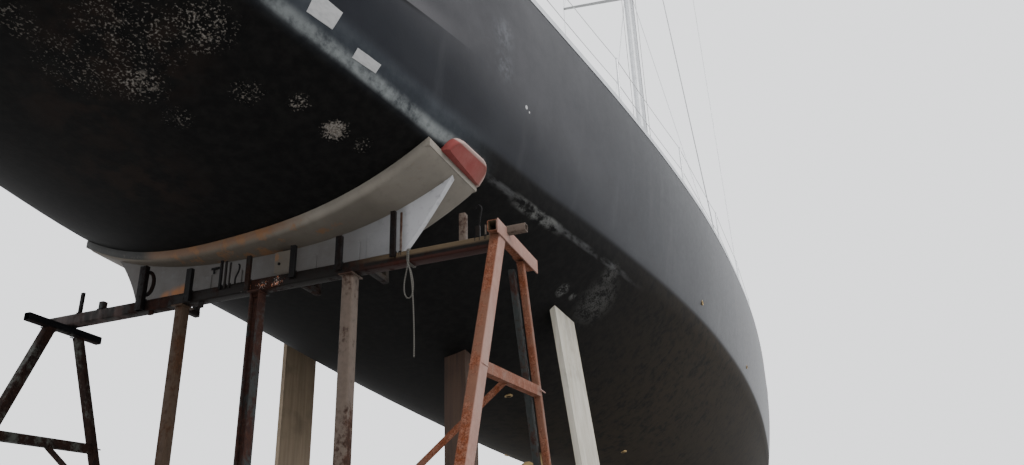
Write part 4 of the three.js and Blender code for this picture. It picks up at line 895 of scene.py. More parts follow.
def half_section(s, bottom_steps=22, bilge_steps=8, side_steps=12):
    """Half a section from the middle of the bottom to the sheer: half-breadth and height."""
    points = []
    for share in np.linspace(0, 1, bottom_steps + 1):
        points.append((s["bilge_half"] * share,
                       s["bottom"] + (s["bilge"] - s["bottom"]) * share ** s["power"]))
    fade = min(1, (s["sheer"] - s["bilge"]) / 1.5, s["bilge_half"] / 0.9)
    for blend in np.arange(1, bilge_steps + 1) / bilge_steps:
        turn = blend * math.pi / 2
        points.append((
            s["bilge_half"] + BILGE_WIDTH * fade * (0.35 * math.sin(turn) + 0.65 * blend),
            s["bilge"] + BILGE_HEIGHT * fade * (0.35 * (1 - math.cos(turn)) + 0.65 * blend),
        ))
    half, height = points[-1]
    for share in np.arange(1, side_steps + 1) / side_steps:
        points.append((
            half + (s["sheer_half"] - half) * share + SWELL * fade * 4 * share * (1 - share),
            height + (s["sheer"] - height) * share,
        ))
    return points


def hull_ring(ahead):
    s = hull_at(ahead)
    half = half_section(s)
    x = SADDLE_X + ahead
    starboard = [(x, -y, z) for y, z in reversed(half[1:])]
    port = [(x, y, z) for y, z in half]
    deck = [(x, k * s["sheer_half"], deck_at(ahead, k * s["sheer_half"]))
            for k in (0.85, 0.6, 0.3, 0, -0.3, -0.6, -0.85)]
    return starboard + port + deck


def side_point(ahead, height, side=-1, lift=0.0):
    """A place on the bilge or topside at some height, lifted off the paint."""
    half = np.array(half_section(hull_at(ahead)))
    y = float(np.interp(height, half[:, 1], half[:, 0]))
    return (SADDLE_X + ahead, side * (y + lift), height)


print("sections of", len(hull_ring(0)), "points")

# %% [markdown]
# The fine hull is cut like the real moulding: a raked transom, the cockpit well, the hatchways in
# deck and coachroof, and the bores of the rudder stock and the propeller shaft. The deck's faces
# are told from the painted sides by where they lie.

# %% Fine hull
# Two faces in one plane render black, so a cut stops this far from the face beside it.
FACE_GAP = 0.003
WELL_AFT, WELL_FORE, WELL_HALF, SOLE = SADDLE_X - 1.5, SADDLE_X + 2.9 + FACE_GAP, 1.15, 5.72
HATCHES = [
    # name, ahead, side of the opening, height of the roof it stands on
    ("lazarette_hatch", -2.1, 0.46, 0.0),
    ("saloon_hatch", 6.2, 0.56, 0.445),
    ("cabin_hatch", 8.9, 0.56, 0.355),
    ("fore_hatch", 15.2, 0.62, 0.0),
]
HATCH_RIM, RIM_HEIGHT = 0.045, 0.06
RUDDER_X, RUDDER_RAKE = SADDLE_X - 2.6, math.radians(9.5)
STOCK_AXIS = Vector((math.sin(RUDDER_RAKE), 0, math.cos(RUDDER_RAKE)))
STOCK_FOOT = Vector((RUDDER_X, 0, bottom_at(RUDDER_X - SADDLE_X, 0)))
SHAFT_AXIS = Vector((math.cos(math.radians(8)), 0, math.sin(math.radians(8))))
PROPELLER = Vector((SADDLE_X + 4.9, 0, 2.96))
TRANSOM_RAKE = 0.56


def shaft_at(distance):
    return PROPELLER + SHAFT_AXIS * distance


def hatch_hole(ahead, side, roof, wider):
    """The cutter of a hatchway, a little wider than the rim that stands in it."""
    top = deck_at(ahead) + roof + RIM_HEIGHT
    return Piece().block((side + wider, side + wider, 0.62), (SADDLE_X + ahead, 0, top - 0.11))


first, last = STATIONS[0, 0], STATIONS[-1, 0]
shares = np.linspace(0, 1, 150)
ring_places = first + (last - first) * (shares + 0.06 * np.sin(2 * np.pi * shares) * shares)
hull = Piece().skin([hull_ring(a) for a in ring_places]).put(
    "hull_skin", hull_paint, slot="hull_paint", replaces=("hull",))
transom_foot = STATIONS[0, 5]


def transom_at(z):
    return STERN_X + TRANSOM_RAKE * (z - transom_foot) / (STATIONS[0, 2] - transom_foot)


BEHIND, BELOW, ABOVE, BESIDE = -13.4, 4.0, 7.5, 2.5
transom_cut = Piece().skin([
    [(BEHIND, y, BELOW), (transom_at(BELOW), y, BELOW), (transom_at(ABOVE), y, ABOVE), (BEHIND, y, ABOVE)]
    for y in (-BESIDE, BESIDE)
])
well_cut = Piece().block(
    (WELL_FORE - WELL_AFT, 2 * WELL_HALF, 1.4), ((WELL_FORE + WELL_AFT) / 2, 0, SOLE + 0.7))
stock_bore = Piece().tube([STOCK_FOOT - STOCK_AXIS * 0.2, STOCK_FOOT + STOCK_AXIS * 0.42], 0.062, 24)
shaft_bore = Piece().tube([shaft_at(1.4), shaft_at(2.78)], 0.028, 16)
faces = carve(
    hull, transom_cut, well_cut, stock_bore, shaft_bore,
    *[hatch_hole(a, s, r, 2 * FACE_GAP) for _, a, s, r in HATCHES])
hull.data.materials.clear()
hull.data.materials.append(hull_paint)
hull.data.materials.append(deck_paint)
for face in hull.data.polygons:
    x, y, z = face.center
    s = hull_at(x - SADDLE_X)
    on_deck = z > s["sheer"] + 0.001 and abs(y) < s["sheer_half"] - 0.004
    in_well = WELL_AFT - 0.001 < x < WELL_FORE + 0.001 and abs(y) < WELL_HALF + 0.001 and z > SOLE - 0.001
    in_hatch = any(
        abs(x - SADDLE_X - a) < side / 2 + 0.004 and abs(y) < side / 2 + 0.004 and z > 5.5
        for _, a, side, _ in HATCHES
    )
    face.material_index = 1 if on_deck or in_well or in_hatch else 0
shade(hull.data, 30)
print("hull of", faces, "faces")

# %% [markdown]
# Small things on the skin: strips of white tape on the bilge, left from masking, skin fittings, an
# exhaust, and the alloy toe rail along the sheer. They are laid on by asking the hull where its
# surface is at a given distance and height.

# %% Things on the hull's skin
TAPES = [
    # corners as distance ahead and height, running round the patch
    ("tape_aft", [(-1.16, 4.785), (-0.97, 4.780), (-0.94, 4.905), (-1.15, 4.925)]),
    ("tape_fore", [(-0.78, 4.705), (-0.59, 4.700), (-0.575, 4.762), (-0.77, 4.772)]),
]


def laid_patch(corners, lift, steps=8):
    a, b, c, d = map(np.array, corners)
    rows = []
    for v in np.linspace(0, 1, steps):
        row = []
        for u in np.linspace(0, 1, steps):
            ahead, height = (a * (1 - u) + b * u) * (1 - v) + (d * (1 - u) + c * u) * v
            wave = 0.0007 * math.sin(u * 9 + v * 4)
            row.append(side_point(ahead, height, -1, lift + wave))
        rows.append(row)
    return rows


for name, corners in TAPES:
    outer = laid_patch(corners, 0.0026)
    inner = laid_patch(corners, -0.004)
    patch = Piece()
    for i in range(len(outer) - 1):
        patch.skin([
            [outer[i][j], outer[i + 1][j], inner[i + 1][j], inner[i][j]] for j in range(len(outer))
        ])
    patch.put(name, white_tape, slot="hull_paint", smooth=60)
print(len(TAPES), "tapes")

# %% Toe rail and outlets
for side, label in SIDES:
    rings = []
    for ahead in np.linspace(-3.02, 20.9, 110):
        s = hull_at(ahead)
        x, y, z = SADDLE_X + ahead, s["sheer_half"], s["sheer"]
        outline = [(0.004, -0.03), (0.004, 0.030), (-0.006, 0.042), (-0.014, 0.030), (-0.014, -0.01)]
        rings.append([(x, side * (y + a), z + b) for a, b in outline])
    Piece().skin(rings).put("toe_rail_" + label, spar_alloy, slot="anodised_alloy")
skin_fittings = Piece()
for ahead, height, side in ((1.9, 4.98, 1), (3.1, 5.02, 1), (5.4, 5.0, -1), (8.6, 5.0, -1), (7.0, 5.05, 1)):
    skin_fittings.turned([(0.034, -0.01), (0.034, 0.006), (0.022, 0.009), (0.021, -0.012)],
                         side_point(ahead, height, side), (0, side, 0.05), 20)
for ahead, y in ((5.6, 0.62), (6.3, -0.7), (9.0, 0.9), (3.4, -0.5)):
    skin_fittings.turned([(0.044, -0.01), (0.044, 0.004), (0.030, 0.008), (0.028, -0.012)],
                         (SADDLE_X + ahead, y, bottom_at(ahead, y)), (0, 0.2 * y, -1), 20)
skin_fittings.put("skin_fittings", bronze, slot="bronze")
exhaust = Piece().turned([(0.058, -0.02), (0.062, 0.014), (0.050, 0.018), (0.046, -0.03)],
                         side_point(-2.2, 5.15, side=1), (-0.1, 1, 0), 24)
exhaust.put("exhaust_outlet", stainless, slot="stainless")
print("toe rails, skin fittings and exhaust on the hull")

# %% [markdown]
# Keel, bulb and rudder are foils: a rounded nose, most thickness a third of the way back, and a
# fine tail. The same foil formula is drawn with more points than the solid has, and the bulb is a
# turned body with its underside planed flat for the keel blocks.

# %% Keel and rudder
KEEL_X, BULB_Z, BULB_LENGTH, BULB_RADIUS = SADDLE_X + 9.8, 0.52, 3.8, 0.31


def foil_half(share):
    return 2.97 * math.sqrt(share) - 1.26 * share - 3.516 * share**2 + 2.843 * share**3 - 1.036 * share**4


def foil_outline(chord, thick, steps=18):
    """Places round a foil: distance behind the nose and half-thickness to either side."""
    shares = [0.5 * (1 - math.cos(math.pi * i / steps)) for i in range(steps + 1)]
    side = [(s * chord, max(foil_half(s) * thick * chord * 0.5, 0.002)) for s in shares]
    return [(0.0, 0.0)] + [(a, -b) for a, b in side[1:]] + [(a, b) for a, b in reversed(side[1:])]


def between_rows(table, key, at, columns):
    """Columns of a table at a value of its key column, which falls from row to row."""
    return [np.interp(-at, [-row[key] for row in table], [row[k] for row in table]) for k in columns]


# nose ahead of the keel's middle, chord, thickness as a share of it, height
FIN_ROWS = [(1.5, 2.9, 0.115, 3.7), (1.4, 2.6, 0.12, 3.1), (1.05, 2.0, 0.13, BULB_Z + 0.15)]
fin_rings = []
for height in np.linspace(3.5, BULB_Z + 0.15, 14):
    nose, chord, thick = between_rows(FIN_ROWS, 3, height, (0, 1, 2))
    fin_rings.append([(KEEL_X + nose - a, b, height) for a, b in foil_outline(chord, thick)])
Piece().skin(fin_rings).put("keel_fin_faired", bottom_black, slot="hull_paint", replaces=("keel_fin",))

bulb_rings = []
for i in range(41):
    share = 0.5 * (1 - math.cos(math.pi * i / 40))
    swell = math.sin(share / 0.4 * math.pi / 2) ** 0.8 if share < 0.4 else max(
        math.cos((share - 0.4) / 0.6 * math.pi / 2), 0.0) ** 0.9
    r = BULB_RADIUS * max(swell, 0.004 if i in (0, 40) else 0.03)
    x = KEEL_X + BULB_LENGTH / 2 - share * BULB_LENGTH
    ring = []
    for t in circle(36):
        z = max(r * math.sin(t), -0.8 * BULB_RADIUS)
        ring.append((x, r * math.cos(t), BULB_Z + z))
    bulb_rings.append(ring)
Piece().skin(bulb_rings).put("keel_bulb_faired", cast_lead, slot="keel_lead", replaces=("keel_bulb",))

# along the stock, nose ahead of it, chord, thickness as a share of the chord
BLADE_ROWS = [(-0.018, 0.26, 0.98, 0.15), (-1.318, 0.235, 0.86, 0.14), (-2.318, 0.19, 0.66, 0.13),
              (-2.668, 0.12, 0.43, 0.12)]
blade_rings = []
aft = Vector((-math.cos(RUDDER_RAKE), 0, math.sin(RUDDER_RAKE)))
for along in np.linspace(-0.018, -2.668, 22):
    nose, chord, thick = between_rows(BLADE_ROWS, 0, along, (1, 2, 3))
    root = STOCK_FOOT + STOCK_AXIS * along
    blade_rings.append([root + aft * (a - nose) + Vector((0, b, 0)) for a, b in foil_outline(chord, thick)])
rudder = Piece().skin(blade_rings)
rudder.tube([STOCK_FOOT - STOCK_AXIS * 0.7, STOCK_FOOT + STOCK_AXIS * 0.405], 0.055, 28)
rudder.put("rudder_faired", bottom_black, body="rudder", slot="hull_paint", replaces=("rudder",))
print("keel, bulb and rudder faired")

# %% [markdown]
# The propeller is a three-bladed bronze one. Each blade is a twisted sheet: steep near the hub and
# flatter toward its tip, which a plain extruded outline can't show. It turns with its shaft, which
# carries a zinc collar, in a bracket under the hull.

# %% Propeller and shaft
cross = Vector((0, 1, 0))
upward = SHAFT_AXIS.cross(cross)
propeller = Piece()
propeller.turned(
    [(0.004, -0.203), (0.030, -0.185), (0.050, -0.14), (0.060, -0.095), (0.062, 0.095), (0.056, 0.097)],
    PROPELLER, SHAFT_AXIS, 32)
BLADES = 3
for k in range(BLADES):
    spin = math.radians(90) + k * 2 * math.pi / BLADES
    out = cross * math.cos(spin) + upward * math.sin(spin)
    tangent = SHAFT_AXIS.cross(out)
    rings = []
    for u in np.linspace(0, 1, 14):
        r = 0.045 + 0.262 * u
        half = 0.115 * math.sqrt(max(1 - (2 * u - 0.95) ** 2 / 1.16, 0.02))
        pitch = math.radians(68 - 38 * u)
        chord = tangent * math.cos(pitch) + SHAFT_AXIS * math.sin(pitch)
        normal = chord.cross(out)
        ring = []
        for t in circle(16):
            ring.append(
                PROPELLER + out * r + chord * (
                    half * math.cos(t)) + normal * (0.009 * (1.15 - u) * math.sin(t)))
        rings.append(ring)
    propeller.skin(rings)
propeller.put("propeller_cast", bronze, body="propeller", slot="bronze", smooth=50, replaces=("propeller",))
anode = Piece().turned([(0.023, 0.5), (0.036, 0.515), (0.044, 0.56), (0.036, 0.605), (0.023, 0.62)],
                       PROPELLER, SHAFT_AXIS, 24)
anode.put("shaft_anode", zinc, body="propeller", slot="stainless")
print(BLADES, "blades")

# %% [markdown]
# The saddle is a moulded band that was laid up against a hull's bottom, so its top follows that
# surface and its lower edge is well rounded. The section is a plate with round corners, and it is
# carried across the boat on the hull's own curve. Its ends are thin strips of the same moulding.

# %% Saddle band and pads
BAND_LENGTH, BAND_THICK, BAND_HALF, EDGE = 0.65, 0.07, 1.64, 0.042


def band_section():
    """Places round the band: distance ahead of its aft edge, and height over the hull's bottom."""
    out = [(0.0, 0.0), (0.012, 0.0)]
    out += [(a, 0.0) for a in np.linspace(0.1, BAND_LENGTH - 0.1, 6)]
    out += [(BAND_LENGTH - 0.012, 0.0), (BAND_LENGTH, -0.004)]
    for t in np.linspace(0, math.pi / 2, 5):
        out.append((BAND_LENGTH - EDGE + EDGE * math.cos(t), -BAND_THICK + EDGE - EDGE * math.sin(t)))
    out += [(a, -BAND_THICK) for a in np.linspace(BAND_LENGTH - 0.12, 0.12, 5)]
    for t in np.linspace(math.pi / 2, math.pi, 5):
        out.append((EDGE + EDGE * math.cos(t), -BAND_THICK + EDGE - EDGE * math.sin(t)))
    return out


band_rings = []
for y in np.linspace(-BAND_HALF, BAND_HALF, 73):
    near_end = max(0.0, (abs(y) - BAND_HALF + 0.03) / 0.03)
    ring = []
    for ahead, up in band_section():
        lift = up if up > -0.01 else up * (1 - 0.16 * near_end**2)
        ring.append((SADDLE_X + ahead, y, bottom_at(ahead, y) - 0.0015 + lift))
    band_rings.append(ring)
Piece().skin(band_rings).put(
    "saddle_band_moulded", saddle_moulding, slot="grp_moulding", smooth=50, replaces=("saddle_band",))

end_strip = Piece()
for side in (-1, 1):
    rows = []
    for ahead in np.linspace(0.004, BAND_LENGTH - 0.004, 20):
        z = bottom_at(ahead, BAND_HALF) - 0.002
        y = side * BAND_HALF
        rows.append([(SADDLE_X + ahead, y + side * a, z + b) for a, b in
                     ((-0.03, -0.064), (0.004, -0.060), (0.007, -0.05), (0.007, -0.008), (-0.002, 0.0),
                      (-0.03, -0.004))])
    end_strip.skin(rows)
end_strip.put("saddle_end_strips", saddle_moulding, slot="grp_moulding", smooth=60)

PAD = {"length": 0.51, "reach": 0.32, "thick": 0.10, "corner": 0.125, "forward": 0.08,
       "lean": math.radians(-52)}
PAD_FOOT = -0.018
pad_middle = BAND_LENGTH / 2 + PAD["forward"]
pad_heel = Vector((SADDLE_X + pad_middle, -BAND_HALF, bottom_at(BAND_LENGTH / 2, BAND_HALF) - 0.010))
lean = Matrix.Rotation(PAD["lean"], 3, "X")
half_thick = PAD["thick"] / 2
rubber_rows = [(-half_thick, 0.020), (-half_thick * 0.7, 0.005), (0, 0.0), (half_thick * 0.6, 0.002),
               (half_thick * 0.9, 0.010), (half_thick * 0.98, 0.022), (half_thick * 0.90, 0.034),
               (half_thick * 0.90, 0.05)]
pad_skin = []
for up, draw in rubber_rows:
    ring = []
    for a, b in rounded(PAD["length"], PAD["reach"], PAD["corner"], steps=12):
        flat = Vector((a, b))
        flat -= flat.normalized() * draw
        ring.append(pad_heel + lean @ Vector((flat.x, flat.y, -up)))
    pad_skin.append(ring)
pad = Piece().skin(pad_skin).put(
    "pad_rubber", red_rubber, slot="red_rubber", smooth=50, replaces=("pad_starboard",))
rise = math.atan((bottom_at(BAND_LENGTH, BAND_HALF) - bottom_at(0, BAND_HALF)) / BAND_LENGTH)
foot_turn = Matrix.Rotation(-rise, 3, "Y")
foot_middle = Vector((SADDLE_X + BAND_LENGTH / 2, -BAND_HALF, bottom_at(BAND_LENGTH / 2, BAND_HALF)))
under_pad = Piece().block((0.9, 0.8, 0.4), foot_middle + foot_turn @ Vector((0, 0, PAD_FOOT - 0.2)),
                          foot_turn)
inboard = Piece().block((0.9, 0.6, 0.8), foot_middle + Vector((0, 0.3 - 0.0005, 0)))
print("pad of", carve(pad, under_pad, inboard), "faces")
shade(pad.data, 50)
print("saddle band and its pad")

# %% [markdown]
# The steelwork is old scaffold and box section, cut and welded by whoever had a torch. The beam is
# an open square tube with odd stubs left standing on it. Their sections differ, so each is drawn
# as what it is: box, angle or flat bar. Everything stands in the skewed frame of the beam.

# %% Cross beam and its stubs
ALONG = Vector((math.cos(SKEW), math.sin(SKEW), 0))
ACROSS = Vector((-math.sin(SKEW), math.cos(SKEW), 0))
STEEL_TURN = Matrix.Rotation(SKEW, 3, "Z")


def steel(x, y, z):
    return Vector(askew(x, y, z))


def angle_outline(width, depth, wall):
    return [(-width / 2, -depth / 2), (width / 2, -depth / 2), (width / 2, -depth / 2 + wall),
            (-width / 2 + wall, -depth / 2 + wall), (-width / 2 + wall, depth / 2), (-width / 2, depth / 2)]


BEAM_X, BEAM_TOP, BEAM_DEPTH, BEAM_WIDTH = -0.045, 3.8, 0.085, 0.09
BEAM_PORT, BEAM_STARBOARD = 1.61, -2.055
BEAM_MIDDLE = BEAM_TOP - BEAM_DEPTH / 2
BEAM_FOOT = BEAM_TOP - BEAM_DEPTH
beam = Piece().hollow_bar(
    steel(BEAM_X, BEAM_STARBOARD, BEAM_MIDDLE), steel(BEAM_X, BEAM_PORT, BEAM_MIDDLE),
    BEAM_WIDTH, BEAM_DEPTH, wall=0.007, side=ALONG, reach=0.5)
UPRIGHTS = [
    # offset, side, top, kind, finish, how far down it laps over the beam's face
    (1.300, 0.028, 3.965, "bar", "dark", 0.0), (1.093, 0.045, 3.860, "box", "grey", 0.0),
    (0.690, 0.060, 4.055, "box", "dark", 0.085), (0.272, 0.046, 3.965, "angle", "dark", 0.085),
    (0.008, 0.020, 3.985, "bar", "dark", 0.03), (-0.030, 0.016, 3.975, "bar", "brown", 0.03),
    (-0.066, 0.012, 3.960, "bar", "brown", 0.02), (-0.228, 0.034, 3.975, "angle", "brown", 0.085),
    (-0.590, 0.040, 3.985, "box", "dark", 0.05), (-0.950, 0.044, 3.985, "angle", "dark", 0.06),
    (-1.350, 0.036, 4.090, "angle", "dark", 0.04), (-1.395, 0.014, 4.085, "bar", "pale", 0.0),
    (-1.935, 0.030, 3.88, "bar", "brown", 0.0), (-1.990, 0.010, 3.875, "bar", "pale", 0.0),
]
SHADES = {"brown": Piece(), "dark": Piece(), "grey": Piece(), "pale": Piece()}
AFT_FACE = BEAM_X - BEAM_WIDTH / 2 + 0.005
for offset, side, top, kind, shade_name, lap in UPRIGHTS:
    piece = SHADES[shade_name]
    middle = AFT_FACE - 0.0055 - side * 0.35 if lap else AFT_FACE + side / 2
    foot, head = steel(middle, offset, BEAM_TOP - max(lap, 0.03)), steel(middle, offset, top)
    if kind == "box":
        piece.hollow_bar(foot, head, side * 0.7 if lap else side, side, wall=0.005, side=ALONG, reach=0.1)
    elif kind == "angle":
        piece.section(angle_outline(side * 0.7, side, side * 0.16), foot, head, side=ALONG)
    else:
        piece.section(rounded(side * 0.7, side, 0.002), foot, head, side=ALONG)
WEB_X, WEB_THICK, WEB_FOOT = 0.19, 0.05, 3.9
for offset in (-1.1, -0.56, 0.5):
    beam.hollow_bar(steel(BEAM_X, offset, BEAM_TOP - 0.026), steel(WEB_X + 0.08, offset, BEAM_TOP - 0.026),
                    0.044, 0.044)
    beam.hollow_bar(steel(WEB_X + 0.058, offset, BEAM_TOP - 0.04),
                    steel(WEB_X + 0.058, offset, WEB_FOOT - 0.001), 0.044, 0.044, side=ALONG)
for offset, drop in ((0.37, 0.055), (0.18, 0.045), (-0.28, 0.04), (0.62, 0.03)):
    beam.section(rounded(0.04, 0.012, 0.002), steel(BEAM_X - 0.02, offset, BEAM_FOOT + 0.01),
                 steel(BEAM_X - 0.02, offset, BEAM_FOOT - drop), side=ACROSS)
beam.put("cross_beam_tube", beam_steel, slot="rusty_steel", bevel=0.0022, replaces=("cross_beam",))
SHADES["pale"].hollow_bar(steel(AFT_FACE + 0.025, -1.83, BEAM_TOP - 0.03),
                          steel(AFT_FACE + 0.025, -1.83, 3.99), 0.046, 0.046, 0.005, side=ALONG, reach=0.1)
SHADES["pale"].hollow_bar(steel(-0.062, -2.015, 3.812), steel(-0.062, -2.255, 3.812), 0.052, 0.050, 0.005,
                          side=ALONG, reach=0.1)
for shade_name, look in (("brown", stub_steel), ("dark", dark_steel), ("grey", grey_steel),
                         ("pale", pale_steel)):
    SHADES[shade_name].put(f"beam_stubs_{shade_name}", look, slot="rusty_steel", bevel=0.0018)

# A bracket bent from flat bar beside the big stub, a bent rod, and a hook near the starboard end.
odds = Piece()
curl = [(0.668 - 0.055 * math.sin(t), 3.925 + 0.088 * math.cos(t))
        for t in np.linspace(0.05, math.pi - 0.05, 14)]
odds.tube([steel(AFT_FACE - 0.004, y, z) for y, z in curl], 0.014, 8)
odds.tube(smooth_path([steel(AFT_FACE + 0.01, y, z) for y, z in (
    (-0.118, 3.945), (-0.128, 3.93), (-0.122, 3.89), (-0.100, 3.84), (-0.102, 3.78))], 4), 0.006, 8)
odds.tube(smooth_path([steel(AFT_FACE + 0.03, y, z) for y, z in (
    (-1.935, 3.86), (-1.945, 3.95), (-1.955, 4.01), (-1.935, 4.035), (-1.915, 4.02))], 4), 0.006, 8)
odds.turned([(0.011, 0), (0.011, 0.006), (0.006, 0.008)], steel(WEB_X - 0.055, -0.30, 3.995), -ALONG, 12)
for offset, low_z, high_z, side in ((0.310, 4.040, 4.085, 0.016), (0.300, 4.074, 4.090, 0.075)):
    odds.section(rounded(0.006, side, 0.002), steel(WEB_X - 0.014, offset, low_z),
                 steel(WEB_X - 0.014, offset, high_z), side=ALONG)
odds.put("beam_brackets", dark_steel, slot="rusty_steel", smooth=50)


def weld(piece, start, end, size=0.006, beads=14):
    """A run of weld: a row of overlapping rounded beads."""
    start, end = Vector(start), Vector(end)
    path = [start.lerp(end, t) for t in np.linspace(0, 1, beads * 2)]
    radii = [size * (0.75 + 0.35 * abs(math.sin(i * 1.57 + 0.4))) for i in range(len(path))]
    piece.tube(path, radii, 8)


welds = Piece()
for offset, side, top, kind, shade_name, lap in UPRIGHTS:
    for sign in (-1, 1):
        weld(welds, steel(AFT_FACE - 0.002, offset + sign * side / 2, BEAM_TOP - 0.028),
             steel(AFT_FACE - 0.002, offset + sign * side / 2, BEAM_TOP + 0.004), 0.004, 5)
    weld(welds, steel(AFT_FACE, offset - side / 2, BEAM_TOP + 0.001),
         steel(AFT_FACE, offset + side / 2, BEAM_TOP + 0.001), 0.0045, 6)
welds.put("beam_welds", dark_steel, slot="rusty_steel", smooth=70)
print(len(UPRIGHTS) + 2, "stubs on the beam")

# %% Posts under the beam
POSTS = [
    # offset, side, kind, finish
    (0.360, 0.074, "box", brown_steel), (-0.282, 0.078, "joist", grey_steel),
    (-1.010, 0.086, "box", pale_steel),
]
BEAM_UNDER = BEAM_FOOT - 0.0005


def joist_outline(side, web=0.010, flange=0.011):
    h, w = side / 2, web / 2
    f = h - flange
    return [(-h, -h), (h, -h), (h, -f), (w, -f), (w, f), (h, f), (h, h), (-h, h), (-h, f), (-w, f), (-w, -f),
            (-h, -f)]


for number, (offset, side, kind, look) in enumerate(POSTS, 1):
    post = Piece()
    foot, head = steel(BEAM_X, offset, 0.011), steel(BEAM_X, offset, BEAM_UNDER)
    if kind == "box":
        post.hollow_bar(foot, head, side, side, 0.006, side=ALONG, reach=0.02)
    else:
        post.section(joist_outline(side), foot, head, side=ALONG)
    post.block((0.28, 0.28, 0.012), steel(BEAM_X, offset, 0.006), STEEL_TURN)
    post.block((side + 0.05, side + 0.02, 0.010), steel(BEAM_X, offset, BEAM_UNDER - 0.006), STEEL_TURN)
    for a, b in ((1, 1), (1, -1), (-1, 1), (-1, -1)):
        post.turned([(0.013, 0.0), (0.013, 0.012), (0.006, 0.013), (0.006, 0.022)],
                    steel(BEAM_X + a * 0.11, offset + b * 0.11, 0.012), sides=6)
    for sign in (-1, 1):
        weld(post, steel(BEAM_X - side / 2, offset + sign * side / 2, 0.016),
             steel(BEAM_X + side / 2, offset + sign * side / 2, 0.016))
    post.put(f"post_{number}_steel", look, slot="rusty_steel", bevel=0.0025, replaces=(f"post_{number}",))
straps = Piece()
for z, offset, side in ((2.05, -1.010, 0.096), (2.09, -1.010, 0.096)):
    ring = [steel(BEAM_X + a, offset + b, z) for a, b in rounded(side, side, 0.012)]
    straps.tube(ring + ring[:2], 0.004, 6)
straps.put("post_straps", dark_steel, slot="rusty_steel", smooth=60)
print(len(POSTS), "posts")

# %% [markdown]
# Each trestle is an A-frame of box section: a cap along the top, two splayed legs, a rail between
# them, and a brace down to the nearest post. The cap's ends are open, and from aft an end looks
# black, as only its inside is seen; inside the starboard cap a dark sleeve adds painted shade.

# %% Trestles
BRACE_FOOT = 2.04
TRESTLES = [
    # offset across, height of the cap, its two ends and section, heads and feet of the two legs,
    # their sections and common top, the rail's two ends, and the post that the brace goes to
    {"name": "trestle_port", "look": trestle_steel, "twin": None, "plate": None,
     "y": 1.400, "cap_z": BEAM_UNDER - 0.030, "cap": (-0.420, 0.234), "cap_size": (0.056, 0.058),
     "heads": (-0.210, 0.030), "feet": (-1.570, 1.405), "leg": (0.070, 0.070), "fore": (0.070, 0.049),
     "legs_top": 3.66, "rail": (2.825, 2.865), "post": POSTS[0], "inward": -1},
    {"name": "trestle_starboard", "look": orange_steel, "twin": grey_steel, "plate": (3.730, 3.826),
     "y": -2.090, "cap_z": BEAM_TOP - 0.010, "cap": (-0.225, 0.480), "cap_size": (0.064, 0.074),
     "heads": (-0.115, 0.260), "feet": (-1.520, 1.310), "leg": (0.092, 0.072), "fore": (0.046, 0.046),
     "legs_top": 3.742, "rail": (2.850, 2.925), "post": POSTS[2], "inward": 1},
]
FOOT_Z = 0.06
for t in TRESTLES:
    y, z = t["y"], t["cap_z"]
    leg_width, leg_depth = t["leg"]
    frame_piece = Piece()
    cap_width, cap_depth = t["cap_size"]
    frame_piece.hollow_bar(steel(t["cap"][0], y, z), steel(t["cap"][1], y, z), cap_width, cap_depth, 0.005,
                           side=ACROSS, reach=0.25)

    def on_leg(k, height):
        head, foot = steel(t["heads"][k], y, z), steel(t["feet"][k], y, FOOT_Z)
        return head.lerp(foot, (z - height) / (z - FOOT_Z))

    legs = [(on_leg(k, t["legs_top"]), on_leg(k, FOOT_Z)) for k in (0, 1)]
    for (head, foot), (depth, width) in zip(legs, ((leg_depth, leg_width), t["fore"])):
        frame_piece.hollow_bar(head, foot, depth, width, 0.006, side=ACROSS, reach=0.02)
    if t["plate"]:
        low, high = t["plate"]
        face_y, plate_z = y - leg_depth / 2 - 0.0055, (low + high) / 2
        frame_piece.section(rounded(0.008, high - low, 0.002), steel(t["cap"][0] - 0.012, face_y, plate_z),
                            steel(t["cap"][1] + 0.012, face_y, plate_z), side=ACROSS)
        # a dark sleeve inside the cap: painted shade, so that its open end looks black from aft
        shade_sleeve = Piece().hollow_bar(
            steel(t["cap"][0] + 0.004, y, z), steel(t["cap"][1] - 0.004, y, z),
            cap_width - 0.0105, cap_depth - 0.0105, 0.002, side=ACROSS)
        shade_sleeve.put(t["name"] + "_cap_inside", beam_steel, slot="rusty_steel")
    rail_aft, rail_fore = on_leg(0, t["rail"][0]), on_leg(1, t["rail"][1])
    frame_piece.section(angle_outline(0.05, 0.066, 0.008), rail_aft, rail_fore, side=ACROSS)
    offset, side, _, _ = t["post"]
    rail_z = sum(t["rail"]) / 2
    frame_piece.section(angle_outline(0.042, 0.042, 0.006), steel(BEAM_X, y, rail_z - 0.02),
                        steel(BEAM_X, offset - t["inward"] * (side / 2 + 0.002), BRACE_FOOT), side=ALONG)
    sill_aft, sill_fore = t["feet"][0] - 0.06, t["feet"][1] + 0.06
    frame_piece.hollow_bar(steel(sill_aft, y, 0.03), steel(sill_fore, y, 0.03), 0.09, 0.06, 0.006,
                           side=ACROSS)
    for joint in (rail_aft, rail_fore, on_leg(0, z - 0.03), on_leg(1, z - 0.03)):
        for sign in (-1, 1):
            shift = ACROSS * (sign * leg_depth * 0.5)
            weld(frame_piece, joint + shift - ALONG * 0.045, joint + shift + ALONG * 0.045, 0.005, 8)
    frame_piece.put(t["name"] + "_steel", t["look"], slot="rusty_steel", bevel=0.0025, replaces=(t["name"],))
    if t["twin"]:
        head, foot = legs[1]
        shift = ACROSS * 0.058 - ALONG * 0.012
        twin = Piece().section(rounded(0.04, 0.05, 0.006), head + shift - Vector((0, 0, 0.05)), foot + shift,
                               side=ACROSS)
        twin.put(t["name"] + "_twin_leg", t["twin"], slot="rusty_steel", bevel=0.002)
print(len(TRESTLES), "trestles")

